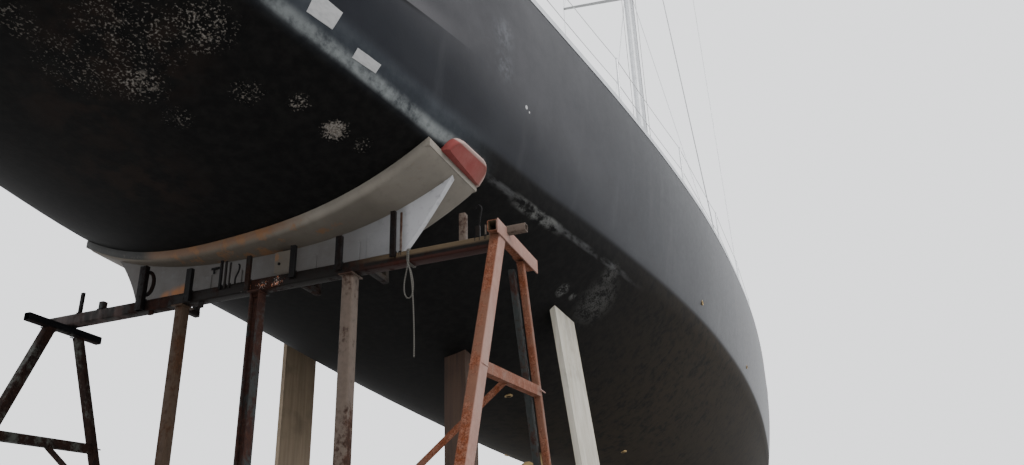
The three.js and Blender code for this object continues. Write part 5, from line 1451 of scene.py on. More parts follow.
# %% [markdown]
# The web under the band is glass-fibre board with flared ends. Plain boards were laid over its face
# between the stubs, a little proud of it and not quite level. Rust from the beam has run into them.

# %% Web boards and the rope's hitch
plates = Piece()
PLATES = [
    # low and high offset, low and high edge, how far proud
    (0.335, 0.640, 3.912, 4.040, 0.006), (0.060, 0.255, 3.915, 4.030, 0.009),
    (-0.580, -0.400, 3.915, 4.035, 0.006), (-0.930, -0.625, 3.925, 4.075, 0.008),
    (-1.215, -0.985, 3.935, 4.120, 0.006),
]
for low_y, high_y, low_z, high_z, proud in PLATES:
    middle = steel(WEB_X - proud / 2, (low_y + high_y) / 2, (low_z + high_z) / 2)
    plates.block((proud, high_y - low_y, high_z - low_z), middle, STEEL_TURN)
plates.put("web_plates", web_moulding, slot="grp_moulding", bevel=0.003)
box = Piece().block((0.055, 0.128, 0.165), steel(WEB_X - 0.0275, -0.322, 4.010), STEEL_TURN)
box.put("web_box", saddle_moulding, slot="grp_moulding", bevel=0.004)
HITCH_Y = ROPE_ROUTE[0][1] / 1000
hitch = Piece()
for shift in (0.0, 0.011):
    ring = [steel(BEAM_X + a, HITCH_Y + shift, BEAM_MIDDLE + b)
            for a, b in rounded(BEAM_WIDTH + 0.010, BEAM_DEPTH + 0.010, 0.014)]
    hitch.tube(smooth_path(ring + ring[:1], 3), ROPE_DIAMETER / 2, 8)
hitch.put("rope_hitch", rope_curve.materials[0], slot="rope", smooth=60)
print(len(PLATES), "boards on the web, and the hitch")

# %% [markdown]
# The coachroof is a low moulding with soft corners. Its CAD solid has a few flat panels, so the
# same six rows are drawn again with a curve through the corners of each section, and then cut for
# the companionway, the hatches and the mast.

# %% Coachroof
ROOF_ROWS = np.array([
    # ahead, half-width, height
    (2.9, 1.25, 0.62), (4.6, 1.26, 0.54), (7.0, 1.15, 0.40),
    (9.3, 0.95, 0.33), (10.7, 0.70, 0.21), (11.3, 0.48, 0.06),
])
CORNER_STEPS = 5
MAST_X, GOOSENECK_Z = SADDLE_X + 11.6, 8.15


def roof_size(ahead):
    """Half-width and height of the coachroof at a distance ahead of the saddle."""
    return [float(np.interp(ahead, ROOF_ROWS[:, 0], ROOF_ROWS[:, k])) for k in (1, 2)]


def roof_half(ahead):
    """Half a section of the coachroof, from its foot to the middle: offset and height."""
    half, height = roof_size(ahead)
    deck = deck_at(ahead)
    top = deck + height
    corners = np.array([
        (1, deck - 0.15), (0.993, deck + 0.175 * height), (0.985, deck + 0.35 * height),
        (0.9, top - height * 0.18), (0.72, top - height * 0.03), (0.35, top + 0.010), (0, top + 0.012),
    ])
    corners[:, 0] *= half
    out = [corners[0]]
    for before, corner, after in zip(corners, corners[1:], corners[2:]):
        a, b = (before + corner) / 2, (corner + after) / 2
        for t in np.linspace(0, 1, CORNER_STEPS):
            out.append((1 - t) ** 2 * a + 2 * t * (1 - t) * corner + t * t * b)
    out.append(corners[-1])
    return np.array(out)


def roof_point(ahead, height_share, side, lift=0.0):
    """A place on the coachroof's side, at a share of its height."""
    half = roof_half(ahead)
    z = deck_at(ahead) + height_share * roof_size(ahead)[1]
    y = float(np.interp(z, half[:, 1], half[:, 0]))
    return Vector((SADDLE_X + ahead, side * (y + lift), z))


def roof_top(ahead, y=0.0):
    half = roof_half(ahead)[::-1]
    return float(np.interp(abs(y), half[:, 0], half[:, 1]))


roof_rings = []
for ahead in np.concatenate([np.linspace(2.9, 10.7, 42), np.linspace(10.8, 11.3, 5)]):
    half = roof_half(ahead)
    x = SADDLE_X + ahead
    roof_rings.append([(x, -y, z) for y, z in half] + [(x, y, z) for y, z in half[-2::-1]])
roof = Piece().skin(roof_rings).put("coachroof_moulded", gloss_white, slot="deck_paint", smooth=50,
                                    replaces=("coachroof",))
ROOF_AFT = SADDLE_X + 2.9
COMPANION_HALF, COMPANION_DEPTH = 0.38, 0.76
SILL = deck_at(2.9) + 0.05
COMPANION_TOP = deck_at(2.9) + 0.62
cutters = [Piece().block((2 * COMPANION_DEPTH, 2 * COMPANION_HALF, 1.6), (ROOF_AFT, 0, SILL + 0.8))]
cutters += [hatch_hole(ahead, side, height, FACE_GAP) for _, ahead, side, height in HATCHES if height]
cutters.append(Piece().turned([(0.20, 6.0), (0.20, 7.0)], (MAST_X, 0, 0), sides=24))
faces = carve(roof, *cutters)
shade(roof.data, 40)
print("coachroof of", faces, "faces")

# %% [markdown]
# Side windows are thin dark panes set flush in the coachroof's sides. Each pane is a patch of the
# side's own surface, lifted a little, with round ends, and lies in a slightly larger rubber seal.

# %% Windows
WINDOWS = [(3.35, 4.55), (4.85, 6.15), (6.5, 7.6), (7.95, 8.75)]
panes, seals = Piece(), Piece()
for first, last in WINDOWS:
    for side in (-1, 1):
        for made, grow, lift in ((seals, 0.018, 0.003), (panes, 0.0, 0.0075)):
            low, high = 0.36 - grow * 1.6, 0.70 + grow * 1.6
            rows = []
            for t in np.linspace(0, 1, 22):
                ahead = first - grow + (last - first + 2 * grow) * t
                pinch = min(1, math.sin(math.pi * t) * 7) ** 0.5
                middle, half = (low + high) / 2, (high - low) / 2 * max(pinch, 0.04)
                rows.append([roof_point(ahead, middle + half * k, side, lift) for k in np.linspace(-1, 1, 7)])
            made.skin(rows, around=False)
panes.put("cabin_windows", smoked_acrylic, slot="smoked_acrylic", smooth=50)
seals.put("cabin_window_seals", black_plastic, slot=None, smooth=50)
print(len(WINDOWS) * 2, "windows")

# %% [markdown]
# Handrails are tubes on short feet, and two pairs of cowls let air below. Both ask the coachroof
# how high it is where they stand, so they follow its slope and its camber.

# %% Handrails and cowls
HANDRAILS = ((3.4, 6.0), (6.5, 9.6))
HANDRAIL_LIFT = 0.062
rails, vents = Piece(), Piece()
for side in (-1, 1):
    for first, last in HANDRAILS:
        path = []
        for ahead in np.linspace(first, last, 27):
            y = roof_size(ahead)[0] * 0.70
            path.append((SADDLE_X + ahead, side * y, roof_top(ahead, y) + HANDRAIL_LIFT))
        rails.tube(path, 0.0125, 12)
        for x, y, z in path[::4] + [path[-1]]:
            ground = roof_top(x - SADDLE_X, abs(y))
            rails.tube([(x, y, ground - 0.004), (x, y, z)], 0.009, 8)
            rails.turned([(0.026, 0), (0.026, 0.004), (0.012, 0.010)], (x, y, ground - 0.001), sides=16)
    for ahead in (4.9, 9.9):
        y = roof_size(ahead)[0] * 0.5
        place = Vector((SADDLE_X + ahead, side * y, roof_top(ahead, y) - 0.004))
        vents.turned([(0.085, 0), (0.085, 0.012), (0.062, 0.03), (0.058, 0.10)], place, sides=28)
        path = [place + Vector((0.17 * math.sin(t) * 0.5, 0, 0.10 + 0.085 * (1 - math.cos(t))))
                for t in np.linspace(0, 1.75, 9)]
        vents.tube(path, np.linspace(0.058, 0.098, 9), 24)
rails.put("coachroof_handrails", stainless, smooth=60)
vents.put("cowl_vents", stainless, smooth=60)
print(2 * len(HANDRAILS), "handrails")

# %% [markdown]
# A deck hatch is an alloy frame with a tinted pane, hinged at its forward edge, on a raised rim.
# The frame and its handles ride on the lid's body, and the rim stays on the boat.

# %% Hatches
LID, HATCH_CORNER = 0.036, 0.05


def square_ring(made, place, outer, inner, low, high):
    """A square frame with round corners and a hole."""
    rows = []
    for size, z in ((inner, low), (outer, low), (outer, high - 0.006), (outer - 0.010, high),
                    (inner + 0.006, high), (inner, high - 0.004), (inner, low)):
        rows.append((size, size, HATCH_CORNER * size / outer, z))
    return made.stack(place, rows, caps=False)


for name, ahead, side, height in HATCHES:
    x = SADDLE_X + ahead
    top = deck_at(ahead) + height + RIM_HEIGHT
    over = top + LID
    outer = side + 2 * HATCH_RIM
    square_ring(Piece(), (x, 0, 0), outer, side, top - 0.13, top).put(
        name + "_rim", gloss_white, slot="deck_paint", smooth=45)
    lid = square_ring(Piece(), (x, 0, top + 0.0005), outer, outer - 0.11, 0, LID)
    for y in (-outer * 0.3, outer * 0.3):
        lid.block((0.05, 0.06, 0.016), (x + outer / 2 - 0.030, y, over + 0.004))
        hinge_x = x + outer / 2 - 0.020
        lid.tube([(hinge_x, y + end, over + 0.007) for end in (-0.03, 0.03)], 0.006, 10)
    lid.put(name + "_frame", spar_alloy, body=name, slot="anodised_alloy", smooth=45, replaces=(name,))
    pane_rows = [
        (size, size, 0.035 * size / outer, z)
        for size, z in ((outer - 0.112, 0.006), (outer - 0.112, LID - 0.008), (outer - 0.14, LID - 0.004),
                        (outer * 0.5, LID + 0.001), (outer * 0.1, LID + 0.002))
    ]
    Piece().stack((x, 0, top), pane_rows).put(
        name + "_pane", smoked_acrylic, body=name, slot="smoked_acrylic", smooth=50)
    handle = Piece()
    handle_x = x - outer * 0.36
    for y in (-outer * 0.22, outer * 0.22):
        handle.turned([(0.022, 0), (0.022, 0.012), (0.012, 0.016), (0.012, 0.024)],
                      (handle_x, y, over - 0.004), sides=18)
        handle.section(rounded(0.016, 0.010, 0.004), (handle_x, y - 0.004, over + 0.016),
                       (handle_x + 0.02, y + 0.075, over + 0.016), side=FORWARD)
    handle.put(name + "_handles", black_plastic, body=name, slot=None, smooth=50)
print(len(HATCHES), "hatches")

# %% [markdown]
# The companionway is closed by a tinted slide on two runners and by a pair of panelled doors. A
# door's panel is stepped inward in one closed skin, so that its edges catch the light.

# %% Companionway
slide_z = COMPANION_TOP + 0.037
slide_length, slide_width = COMPANION_DEPTH + 0.03, 2 * COMPANION_HALF + 0.12
slide_x = ROOF_AFT + 0.010 + slide_length / 2
slide_rows = [
    (slide_length - 0.02, slide_width - 0.02, 0.03, -0.017), (slide_length, slide_width, 0.03, -0.012),
    (slide_length, slide_width, 0.03, 0.010), (slide_length - 0.03, slide_width - 0.03, 0.03, 0.017),
    (slide_length * 0.4, slide_width * 0.4, 0.03, 0.0175),
]
Piece().stack((slide_x, 0, slide_z), slide_rows, steps=4).put(
    "companionway_slide_pane", smoked_acrylic, body="companionway_slide", slot="smoked_acrylic",
    smooth=50, replaces=("companionway_slide",))
half_grip = [(0.16, 0.012), (0.155, 0.036), (0.12, 0.042)]
grip_path = [(ROOF_AFT + 0.05, y, slide_z + z) for y, z in [(-y, z) for y, z in half_grip] + half_grip[::-1]]
Piece().tube(smooth_path(grip_path, 4), 0.008, 10).put(
    "companionway_slide_grip", stainless, body="companionway_slide", smooth=60)

DOOR_LAP, DOOR_GAP, DOOR_THICK = 0.030, 0.003, 0.028
DOOR_STEPS = (
    # how far the outline is drawn in, and where that step lies across the door's thickness
    (0.0, 0.5), (0.0, -0.40), (0.003, -0.5), (0.055, -0.5), (0.062, -0.30), (0.12, -0.30), (0.128, -0.42),
)
KNOB = [(0.016, 0), (0.008, 0.010), (0.008, 0.02), (0.016, 0.026), (0.014, 0.036), (0.003, 0.040)]
for side, label in SIDES:
    body = "companionway_door_" + label
    low, high = SILL - DOOR_LAP, COMPANION_TOP
    middle_z = (low + high) / 2
    hinge_y = side * (COMPANION_HALF + DOOR_LAP)
    width = COMPANION_HALF + DOOR_LAP - DOOR_GAP
    middle_y = side * (COMPANION_HALF + DOOR_LAP + DOOR_GAP) / 2
    x = ROOF_AFT - 0.0145
    face_x = x - DOOR_THICK / 2
    rows = []
    for draw, across in DOOR_STEPS:
        outline = rounded(width - 2 * draw, high - low - 2 * draw, 0.008, 3)
        rows.append([(x + across * DOOR_THICK, middle_y + a, middle_z + b) for a, b in outline])
    Piece().skin(rows).put(
        body + "_panelled", gloss_white, body=body, slot="deck_paint", smooth=30, replaces=(body,))
    knob = Piece().turned(KNOB, (face_x + 0.001, side * 0.035, middle_z), (-1, 0, 0), 20)
    for z in (low + 0.10, high - 0.10):
        knob.tube([(face_x, hinge_y, z - 0.035), (face_x, hinge_y, z + 0.035)], 0.007, 10)
    knob.put(body + "_fittings", stainless, body=body, smooth=50)
runners = Piece()
for side in (-1, 1):
    y = side * (COMPANION_HALF + 0.082)
    runners.section(rounded(0.026, 0.05, 0.006), (ROOF_AFT + 0.01, y, COMPANION_TOP + 0.022),
                    (ROOF_AFT + 1.5, y, COMPANION_TOP + 0.004))
runners.put("companionway_runners", spar_alloy, slot="anodised_alloy", smooth=50)
print("companionway closed")

# %% [markdown]
# A winch is a lathe job: base, skirt, waisted drum with a rough grip, and the notched ring on top
# that holds the sheet. The grip's ribs are separate low bars, because a smooth drum would slip.

# %% Winches
WINCHES = [
    # kind, ahead, offset, size
    ("running", -0.3, 1.42, 0.85), ("primary", 1.1, 1.48, 1.15), ("halyard", 2.45, 1.48, 0.9),
]
WINCH_PROFILE = [
    (0.132, 0.0), (0.135, 0.006), (0.135, 0.030), (0.128, 0.042), (0.104, 0.056), (0.094, 0.070),
    (0.088, 0.090), (0.085, 0.120), (0.085, 0.160), (0.088, 0.180), (0.100, 0.196), (0.110, 0.204),
    (0.110, 0.211), (0.092, 0.216), (0.088, 0.222), (0.092, 0.228), (0.110, 0.233), (0.111, 0.240),
    (0.104, 0.250), (0.062, 0.256), (0.030, 0.258), (0.028, 0.240), (0.0004, 0.240),
]
RIB_RADIUS, RIB_FOOT, RIB_HEAD, RIBS = 0.0865, 0.085, 0.175, 24
for kind, ahead, offset, size in WINCHES:
    for side, label in SIDES:
        name = f"{kind}_winch_{label}"
        place = Vector((SADDLE_X + ahead, side * offset, deck_at(ahead, offset) + 0.045))
        drum = Piece().turned([(r * size, up * size) for r, up in WINCH_PROFILE], place, sides=48)
        for t in circle(RIBS):
            out = Vector((math.cos(t), math.sin(t), 0))
            low, high = [place + (out * RIB_RADIUS + UP * up) * size for up in (RIB_FOOT, RIB_HEAD)]
            drum.section(rounded(0.004 * size, 0.009 * size, 0.0015 * size, 1), low, high, side=out)
        arm = place + Vector((0.06 * math.cos(0.3), side * 0.06 * math.sin(0.3), 0.262)) * size
        drum.section(rounded(0.03 * size, 0.008 * size, 0.003), arm, arm + FORWARD * (0.055 * size))
        drum.put(name + "_drum", stainless, smooth=40, replaces=(name,))
        foot = [(r * size, up) for r, up in ((0.160, -0.10), (0.156, -0.012), (0.148, 0.0), (0.10, 0.001))]
        Piece().turned(foot, place, sides=40).put(
            name + "_pad", gloss_white, slot="deck_paint", smooth=50)
print(len(WINCHES) * 2, "winches")

# %% [markdown]
# Each wheel has a tubular rim with a grip, five spokes and a domed hub. The pedestals are rounded
# mouldings with blank round dials on top, and the engine's lever is at the starboard one's side.

# %% Wheels and pedestals
WHEEL_X, WHEEL_Y, WHEEL_Z, WHEEL_RADIUS = SADDLE_X - 0.55, 0.6, 6.56, 0.43
GRIP_RADIUS, SPOKES = 0.0165, 5
COLUMN_X, COLUMN_HEIGHT = WHEEL_X + 0.16, WHEEL_Z + 0.12 - SOLE
COLUMN_ROWS = [
    # height, length, width
    (0.0005, 0.26, 0.30), (0.02, 0.255, 0.295), (0.3 * COLUMN_HEIGHT, 0.228, 0.262),
    (0.62 * COLUMN_HEIGHT, 0.19, 0.218), (0.9 * COLUMN_HEIGHT, 0.161, 0.184),
    (0.985 * COLUMN_HEIGHT, 0.152, 0.172), (COLUMN_HEIGHT, 0.130, 0.150),
    (COLUMN_HEIGHT + 0.001, 0.05, 0.05),
]
GUARD_X = WHEEL_X + 0.26
GUARD_HALF = [(0, 0.14, 0), (0, 0.14, 0.8), (-0.01, 0.13, 1.06), (-0.02, 0.07, 1.12)]
guard_bend = [(x, -y, z) for x, y, z in GUARD_HALF] + GUARD_HALF[::-1]
for side, label in SIDES:
    middle = Vector((WHEEL_X, side * WHEEL_Y, WHEEL_Z))
    wheel = "wheel_" + label
    rings = []
    for t in circle(72):
        out = Vector((0, math.sin(t), math.cos(t)))
        rings.append([middle + out * WHEEL_RADIUS + GRIP_RADIUS * (math.cos(a) * out + math.sin(a) * FORWARD)
                      for a in circle(14)])
    Piece().skin(rings + [rings[0]], caps=False).put(
        wheel + "_grip", black_plastic, body=wheel, slot=None, smooth=60)
    spokes = Piece()
    for t in circle(SPOKES):
        out = Vector((0, math.sin(t), math.cos(t)))
        spokes.tube([middle - FORWARD * 0.012, middle + out * (WHEEL_RADIUS / 2),
                     middle + out * (WHEEL_RADIUS - 0.010)], [0.010, 0.009, 0.0085], 12)
    spokes.turned([(0.0004, 0.045), (0.018, 0.0445), (0.034, 0.040), (0.042, 0.030), (0.042, -0.035)],
                  middle, FORWARD, 32)
    spokes.turned([(0.024, -0.035), (0.024, -0.046), (0.016, -0.054), (0.0004, -0.055)],
                  middle, FORWARD, 24)
    spokes.put(wheel + "_spokes", stainless, body=wheel, smooth=50, replaces=(wheel,))
    rows = [(length, width, min(length, width) * 0.22, up) for up, length, width in COLUMN_ROWS]
    Piece().stack((COLUMN_X, side * WHEEL_Y, SOLE), rows).put(
        f"pedestal_{label}_moulded", gloss_white, slot="deck_paint", smooth=50,
        replaces=("pedestal_" + label,))
    dials, bezels = Piece(), Piece()
    for dy in (-0.045, 0.045):
        place = (COLUMN_X, side * WHEEL_Y + dy, SOLE + COLUMN_HEIGHT + 0.001)
        bezels.turned([(0.040, 0), (0.040, 0.010), (0.036, 0.014), (0.032, 0.012)], place, sides=32)
        dials.turned([(0.034, 0.006), (0.034, 0.0105), (0.0004, 0.0105)], place, sides=32)
    bezels.put(f"pedestal_{label}_bezels", stainless, smooth=50)
    dials.put(f"pedestal_{label}_dials", black_plastic, slot=None, smooth=50)
    path = [(GUARD_X + x, side * WHEEL_Y + y, SOLE + z) for x, y, z in guard_bend]
    Piece().tube(smooth_path(path, 5), 0.0125, 12).put(f"pedestal_{label}_guard", stainless, smooth=60)
lever = Piece()
LEVER_X, LEVER_Y, LEVER_Z = WHEEL_X + 0.20, -WHEEL_Y - 0.098, SOLE + 0.72
lever.turned([(0.032, 0), (0.032, 0.014), (0.020, 0.022)], (LEVER_X, LEVER_Y, LEVER_Z), (0, -1, 0), 24)
lever.tube([(LEVER_X, LEVER_Y - 0.020, LEVER_Z), (LEVER_X - 0.02, LEVER_Y - 0.026, LEVER_Z + 0.14)], 0.006,
           10)
lever.ball((LEVER_X - 0.02, LEVER_Y - 0.026, LEVER_Z + 0.15), 0.017, 14)
lever.put("engine_lever", stainless, smooth=50)
print("wheels and pedestals")

# %% [markdown]
# The mainsheet's track crosses the cockpit on two feet. Its bar has the waisted section that a car
# with rollers runs on, and the car carries a pair of sheaves between thin cheeks.

# %% Mainsheet track
TRACK_AHEAD, TRACK_FOOT_Y = 0.9, WELL_HALF + 0.16
track_x = SADDLE_X + TRACK_AHEAD
track_z = deck_at(TRACK_AHEAD, WELL_HALF) + 0.09
track = Piece()
outline = [
    (-0.035, -0.02), (0.035, -0.02), (0.035, -0.008), (0.018, -0.004), (0.018, 0.008), (0.030, 0.012),
    (0.030, 0.02), (-0.030, 0.02), (-0.030, 0.012), (-0.018, 0.008), (-0.018, -0.004), (-0.035, -0.008),
]
track.section(outline, (track_x, -WELL_HALF - 0.25, track_z), (track_x, WELL_HALF + 0.25, track_z),
              side=FORWARD)
for side in (-1, 1):
    y = side * TRACK_FOOT_Y
    track.section(rounded(0.11, 0.09, 0.012), (track_x, y, deck_at(TRACK_AHEAD, TRACK_FOOT_Y)),
                  (track_x, y, track_z - 0.018), side=FORWARD)
    track.block((0.075, 0.02, 0.05), (track_x, side * (WELL_HALF + 0.235), track_z + 0.006))
track.block((0.12, 0.14, 0.028), (track_x, 0, track_z + 0.030))
for dy in (-0.03, 0.03):
    track.sheave((track_x, dy, track_z + 0.062), (0.030, 0.032, 0.026), (0.011, 0.009), 28)
    for y in (dy - 0.014, dy + 0.014):
        track.section(rounded(0.05, 0.003, 0.001), (track_x, y, track_z + 0.040),
                      (track_x, y, track_z + 0.085), side=FORWARD)
track.put("mainsheet_track_rail", spar_alloy, slot="anodised_alloy", smooth=35, bevel=0.0012,
          replaces=("mainsheet_track",))
print("mainsheet track")

# %% [markdown]
# Stanchions carry two wires a side, which sag a little between them and end in bottlescrews at the
# bent tubes of bow and stern. All of them stand on the deck, just inside the sheer.

# %% Rails
RAIL_HEIGHT, RAIL_INSET = 0.68, 0.07
WIRE_LEVELS, WIRE_RADIUS, WIRE_SAG = (0.5, 0.97), 0.0042, 0.016
STANCHIONS = np.linspace(-1.3, 17.9, 10)
STANCHION_PROFILE = [
    (0.038, -0.004), (0.038, 0.006), (0.019, 0.012), (0.018, 0.055), (0.0125, 0.057),
    (0.0125, RAIL_HEIGHT * 0.93), (0.0115, RAIL_HEIGHT * 0.99), (0.006, RAIL_HEIGHT),
    (0.0004, RAIL_HEIGHT * 1.004),
]
RAIL_FOOT = [(0.042, -0.004), (0.042, 0.006), (0.020, 0.010), (0.014, 0.014), (0.014, RAIL_HEIGHT)]


def rail_foot(ahead, side):
    half = hull_at(ahead)["sheer_half"] - RAIL_INSET
    return Vector((SADDLE_X + ahead, side * half, deck_at(ahead, half)))


def on_rail(ahead, side, share):
    """A place over the deck's edge, at a share of the rail's height."""
    return rail_foot(ahead, side) + UP * (RAIL_HEIGHT * share)


for side, label in SIDES:
    rail = Piece()
    for ahead in STANCHIONS:
        rail.turned(STANCHION_PROFILE, rail_foot(ahead, side), sides=18)
    for level in WIRE_LEVELS:
        for a, b in zip(STANCHIONS[:-1], STANCHIONS[1:]):
            start, end = on_rail(a, side, level), on_rail(b, side, level)
            path = [start.lerp(end, t) - UP * (WIRE_SAG * 4 * t * (1 - t)) for t in np.linspace(0, 1, 9)]
            rail.tube(path, WIRE_RADIUS, 6)
    for near, far in ((STANCHIONS[0], -1.8), (STANCHIONS[-1], 18.5)):
        for level in WIRE_LEVELS:
            start, end = on_rail(near, side, level), on_rail(far, side, level)
            rail.tube([start, end], WIRE_RADIUS, 6)
            rail.tube([start.lerp(end, 0.35), start.lerp(end, 0.65)], 0.0085, 8)
    rail.put("guardrail_" + label + "_wires", stainless, smooth=60, replaces=("guardrail_" + label,))
for name, aheads in (("pulpit", (18.5, 19.7, 20.65)), ("pushpit", (-1.8, -2.3, -2.7))):
    tube = Piece()
    top_rail = [on_rail(a, 1, 1) for a in aheads] + [on_rail(a, -1, 1) for a in reversed(aheads)]
    tube.tube(smooth_path(top_rail, 6), 0.015, 16)
    for side in (-1, 1):
        tube.tube(smooth_path([on_rail(a, side, 0.5) for a in aheads], 5), 0.012, 14)
        for a in aheads:
            tube.turned(RAIL_FOOT, rail_foot(a, side), sides=16)
    tube.put(name + "_tubes", stainless, smooth=60, replaces=(name,))
print(2 * len(STANCHIONS), "stanchions")

# %% [markdown]
# The small fittings come last: cleats, sheet tracks with their cars, the stem's roller, the
# windlass, the rope clutches, and the cockpit's benches and slats.

# %% Deck fittings
def cleat(made, place, length=0.30):
    place = Vector(place)
    path = [place + FORWARD * (k * length / 2) + UP * (0.055 + 0.012 * k**2) for k in np.linspace(-1, 1, 13)]
    made.tube(path, [0.006 + 0.009 * math.cos(k * math.pi / 2) for k in np.linspace(-0.95, 0.95, 13)], 12)
    for k in (-0.28, 0.28):
        foot = place + FORWARD * (k * length)
        head = place + FORWARD * (k * length * 0.7) + UP * 0.055
        made.tube([foot, head], 0.011, 10)
    made.block((length * 0.75, 0.05, 0.008), place + UP * 0.002)


fittings = Piece()
for side in (-1, 1):
    for ahead in (-2.2, 0.4, 7.8, 16.6, 19.3):
        half = hull_at(ahead)["sheer_half"] - 0.16
        cleat(fittings, (SADDLE_X + ahead, side * half, deck_at(ahead, half)))
    for first, last in ((3.4, 7.4), (10.4, 13.2)):
        widths = [hull_at(a)["sheer_half"] for a in (first, last)]
        start_y, end_y = [min(w - 0.36, w * 0.82) for w in widths]
        fittings.section(
            rounded(0.032, 0.022, 0.003), (SADDLE_X + first, side * start_y, deck_at(first, start_y) + 0.012),
            (SADDLE_X + last, side * end_y, deck_at(last, end_y) + 0.012))
        at, y = (first + last) / 2, (start_y + end_y) / 2
        x, z = SADDLE_X + at, deck_at(at, y)
        fittings.block((0.15, 0.06, 0.035), (x, side * y, z + 0.045))
        fittings.sheave((x, side * y, z + 0.085), (0.034, 0.036, 0.028), (0.012, 0.010), 24)
stem, stem_z = SADDLE_X + 21.1, deck_at(21.1)
for y in (-0.028, 0.028):
    fittings.section(rounded(0.006, 0.07, 0.003), (stem - 0.30, y, stem_z + 0.03),
                     (stem + 0.20, y, stem_z + 0.045))
fittings.turned([(0.026, -0.022), (0.020, 0), (0.026, 0.022)], (stem + 0.17, 0, stem_z + 0.045), (0, 1, 0),
                24)
windlass_x, windlass_z = SADDLE_X + 18.9, deck_at(18.9)
fittings.turned(
    [(0.075, 0), (0.075, 0.02), (0.055, 0.035), (0.040, 0.075), (0.055, 0.115), (0.058, 0.125),
     (0.030, 0.13)],
    (windlass_x, 0, windlass_z - 0.002), sides=32)
fittings.block((0.26, 0.18, 0.03), (windlass_x, 0, windlass_z + 0.008))
fittings.put("deck_fittings", stainless, smooth=45)
clutches = Piece()
for side in (-1, 1):
    for i in range(5):
        y = side * (0.56 + i * 0.045)
        ground = roof_top(3.35, abs(y))
        clutches.section(rounded(0.034, 0.05, 0.006), (ROOF_AFT + 0.36, y, ground + 0.022),
                         (ROOF_AFT + 0.52, y, ground + 0.02))
        clutches.section(rounded(0.024, 0.010, 0.003), (ROOF_AFT + 0.40, y, ground + 0.05),
                         (ROOF_AFT + 0.53, y, ground + 0.062))
clutches.put("rope_clutches", black_plastic, slot=None, smooth=40)
BENCH = [
    (0.72, -0.01), (0.74, 0.30), (0.72, 0.345), (0.70, 0.36), (0.73, 0.38),
    (WELL_HALF - 0.02, 0.385), (WELL_HALF + 0.01, 0.40), (WELL_HALF + 0.01, -0.01),
]
benches, slats = Piece(), Piece()
for side in (-1, 1):
    benches.skin([[(x, side * y, SOLE + z) for y, z in BENCH]
                  for x in np.linspace(SADDLE_X + 0.15, SADDLE_X + 2.85, 6)])
    for k in range(6):
        y, z = side * (0.765 + 0.062 * k), SOLE + 0.39
        slats.section(rounded(0.052, 0.016, 0.004), (SADDLE_X + 0.20, y, z), (SADDLE_X + 2.80, y, z))
benches.put("cockpit_benches", gloss_white, slot="deck_paint", smooth=35, bevel=0.008)
for k in range(-9, 10):
    y, z = k * 0.066, SOLE + 0.006
    slats.section(rounded(0.055, 0.012, 0.003), (SADDLE_X - 0.1, y, z), (SADDLE_X + 2.85, y, z))
slats.put("cockpit_slats", board_timber, slot="timber", smooth=40)
print("deck fittings ready")

# %% [markdown]
# The mast is an extruded oval tube with a sail track riveted to its aft side. Above the hounds it
# tapers to the masthead, where sheaves and the light sit. Spreaders are thin foils that sweep aft
# a little, and their tips are booted so that sails don't tear on them.

# %% Mast and spreaders
MAST_FOOT, MAST_TOP, HOUNDS = 6.0, 31.5, 26.6
HALF_CHORD, HALF_WIDTH = 0.165, 0.105
MAST_ROWS = [(MAST_FOOT, 1.0), (HOUNDS + 0.4, 1.0), (29.5, 0.85), (MAST_TOP, 0.6)]
SPREADERS = [
    # name, height, reach, sweep
    ("lower", 15.2, 1.55, 0.29), ("upper", 21.1, 1.25, 0.23),
]
TIP_RISE = 0.06


def mast_share(z):
    return float(np.interp(z, [r[0] for r in MAST_ROWS], [r[1] for r in MAST_ROWS]))


mast = Piece()
heights = np.concatenate([[deck_at(11.6) + 0.002], np.linspace(6.8, 26.8, 21),
                          np.linspace(27.0, MAST_TOP, 14)])
turns = circle(40)
mast.skin([
    [(MAST_X + mast_share(z) * HALF_CHORD * math.cos(t), mast_share(z) * HALF_WIDTH * math.sin(t), z)
     for t in turns]
    for z in heights
])
mast.put("mast_tube", spar_alloy, slot="anodised_alloy", smooth=60, replaces=("mast",))
SAIL_TRACK = [
    (0.004, -0.016), (-0.006, -0.016), (-0.006, -0.010), (-0.016, -0.014),
    (-0.016, 0.014), (-0.006, 0.010), (-0.006, 0.016), (0.004, 0.016),
]
fittings = Piece()
rows = []
for z in np.concatenate([np.linspace(8.6, 26.8, 10), np.linspace(27.0, MAST_TOP - 0.1, 8)]):
    x = MAST_X - mast_share(z) * HALF_CHORD
    rows.append([(x + a, b, z) for a, b in SAIL_TRACK])
fittings.skin(rows)
fittings.block((0.30, 0.12, 0.012), (MAST_X, 0, MAST_TOP + 0.004))
for x in (-0.13, 0.13):
    fittings.sheave((MAST_X + x, 0, MAST_TOP - 0.03), (0.045, 0.047, 0.036), (0.016, 0.012), 28)
for _, z, _, _ in SPREADERS:
    for side in (-1, 1):
        fittings.turned([(0.075, 0), (0.072, 0.014), (0.05, 0.03)],
                        (MAST_X - 0.01, side * (HALF_WIDTH - 0.010), z), (0, side, 0), 24)
for side in (-1, 1):
    fittings.turned([(0.055, 0), (0.050, 0.012), (0.03, 0.026)],
                    (MAST_X, side * (HALF_WIDTH - 0.006), HOUNDS), (0, side, 0), 20)
MAST_WINCHES = (7.35, 7.75)
for z in MAST_WINCHES:
    for side in (-1, 1):
        fittings.turned([(0.055, 0), (0.058, 0.02), (0.038, 0.04), (0.034, 0.09), (0.046, 0.105),
                         (0.046, 0.12), (0.02, 0.125)],
                        (MAST_X, side * (HALF_WIDTH - 0.004), z), (0, side, 0), 28)
fittings.put("mast_track_and_fittings", stainless, smooth=45)
collar = Piece()
base = deck_at(11.6)
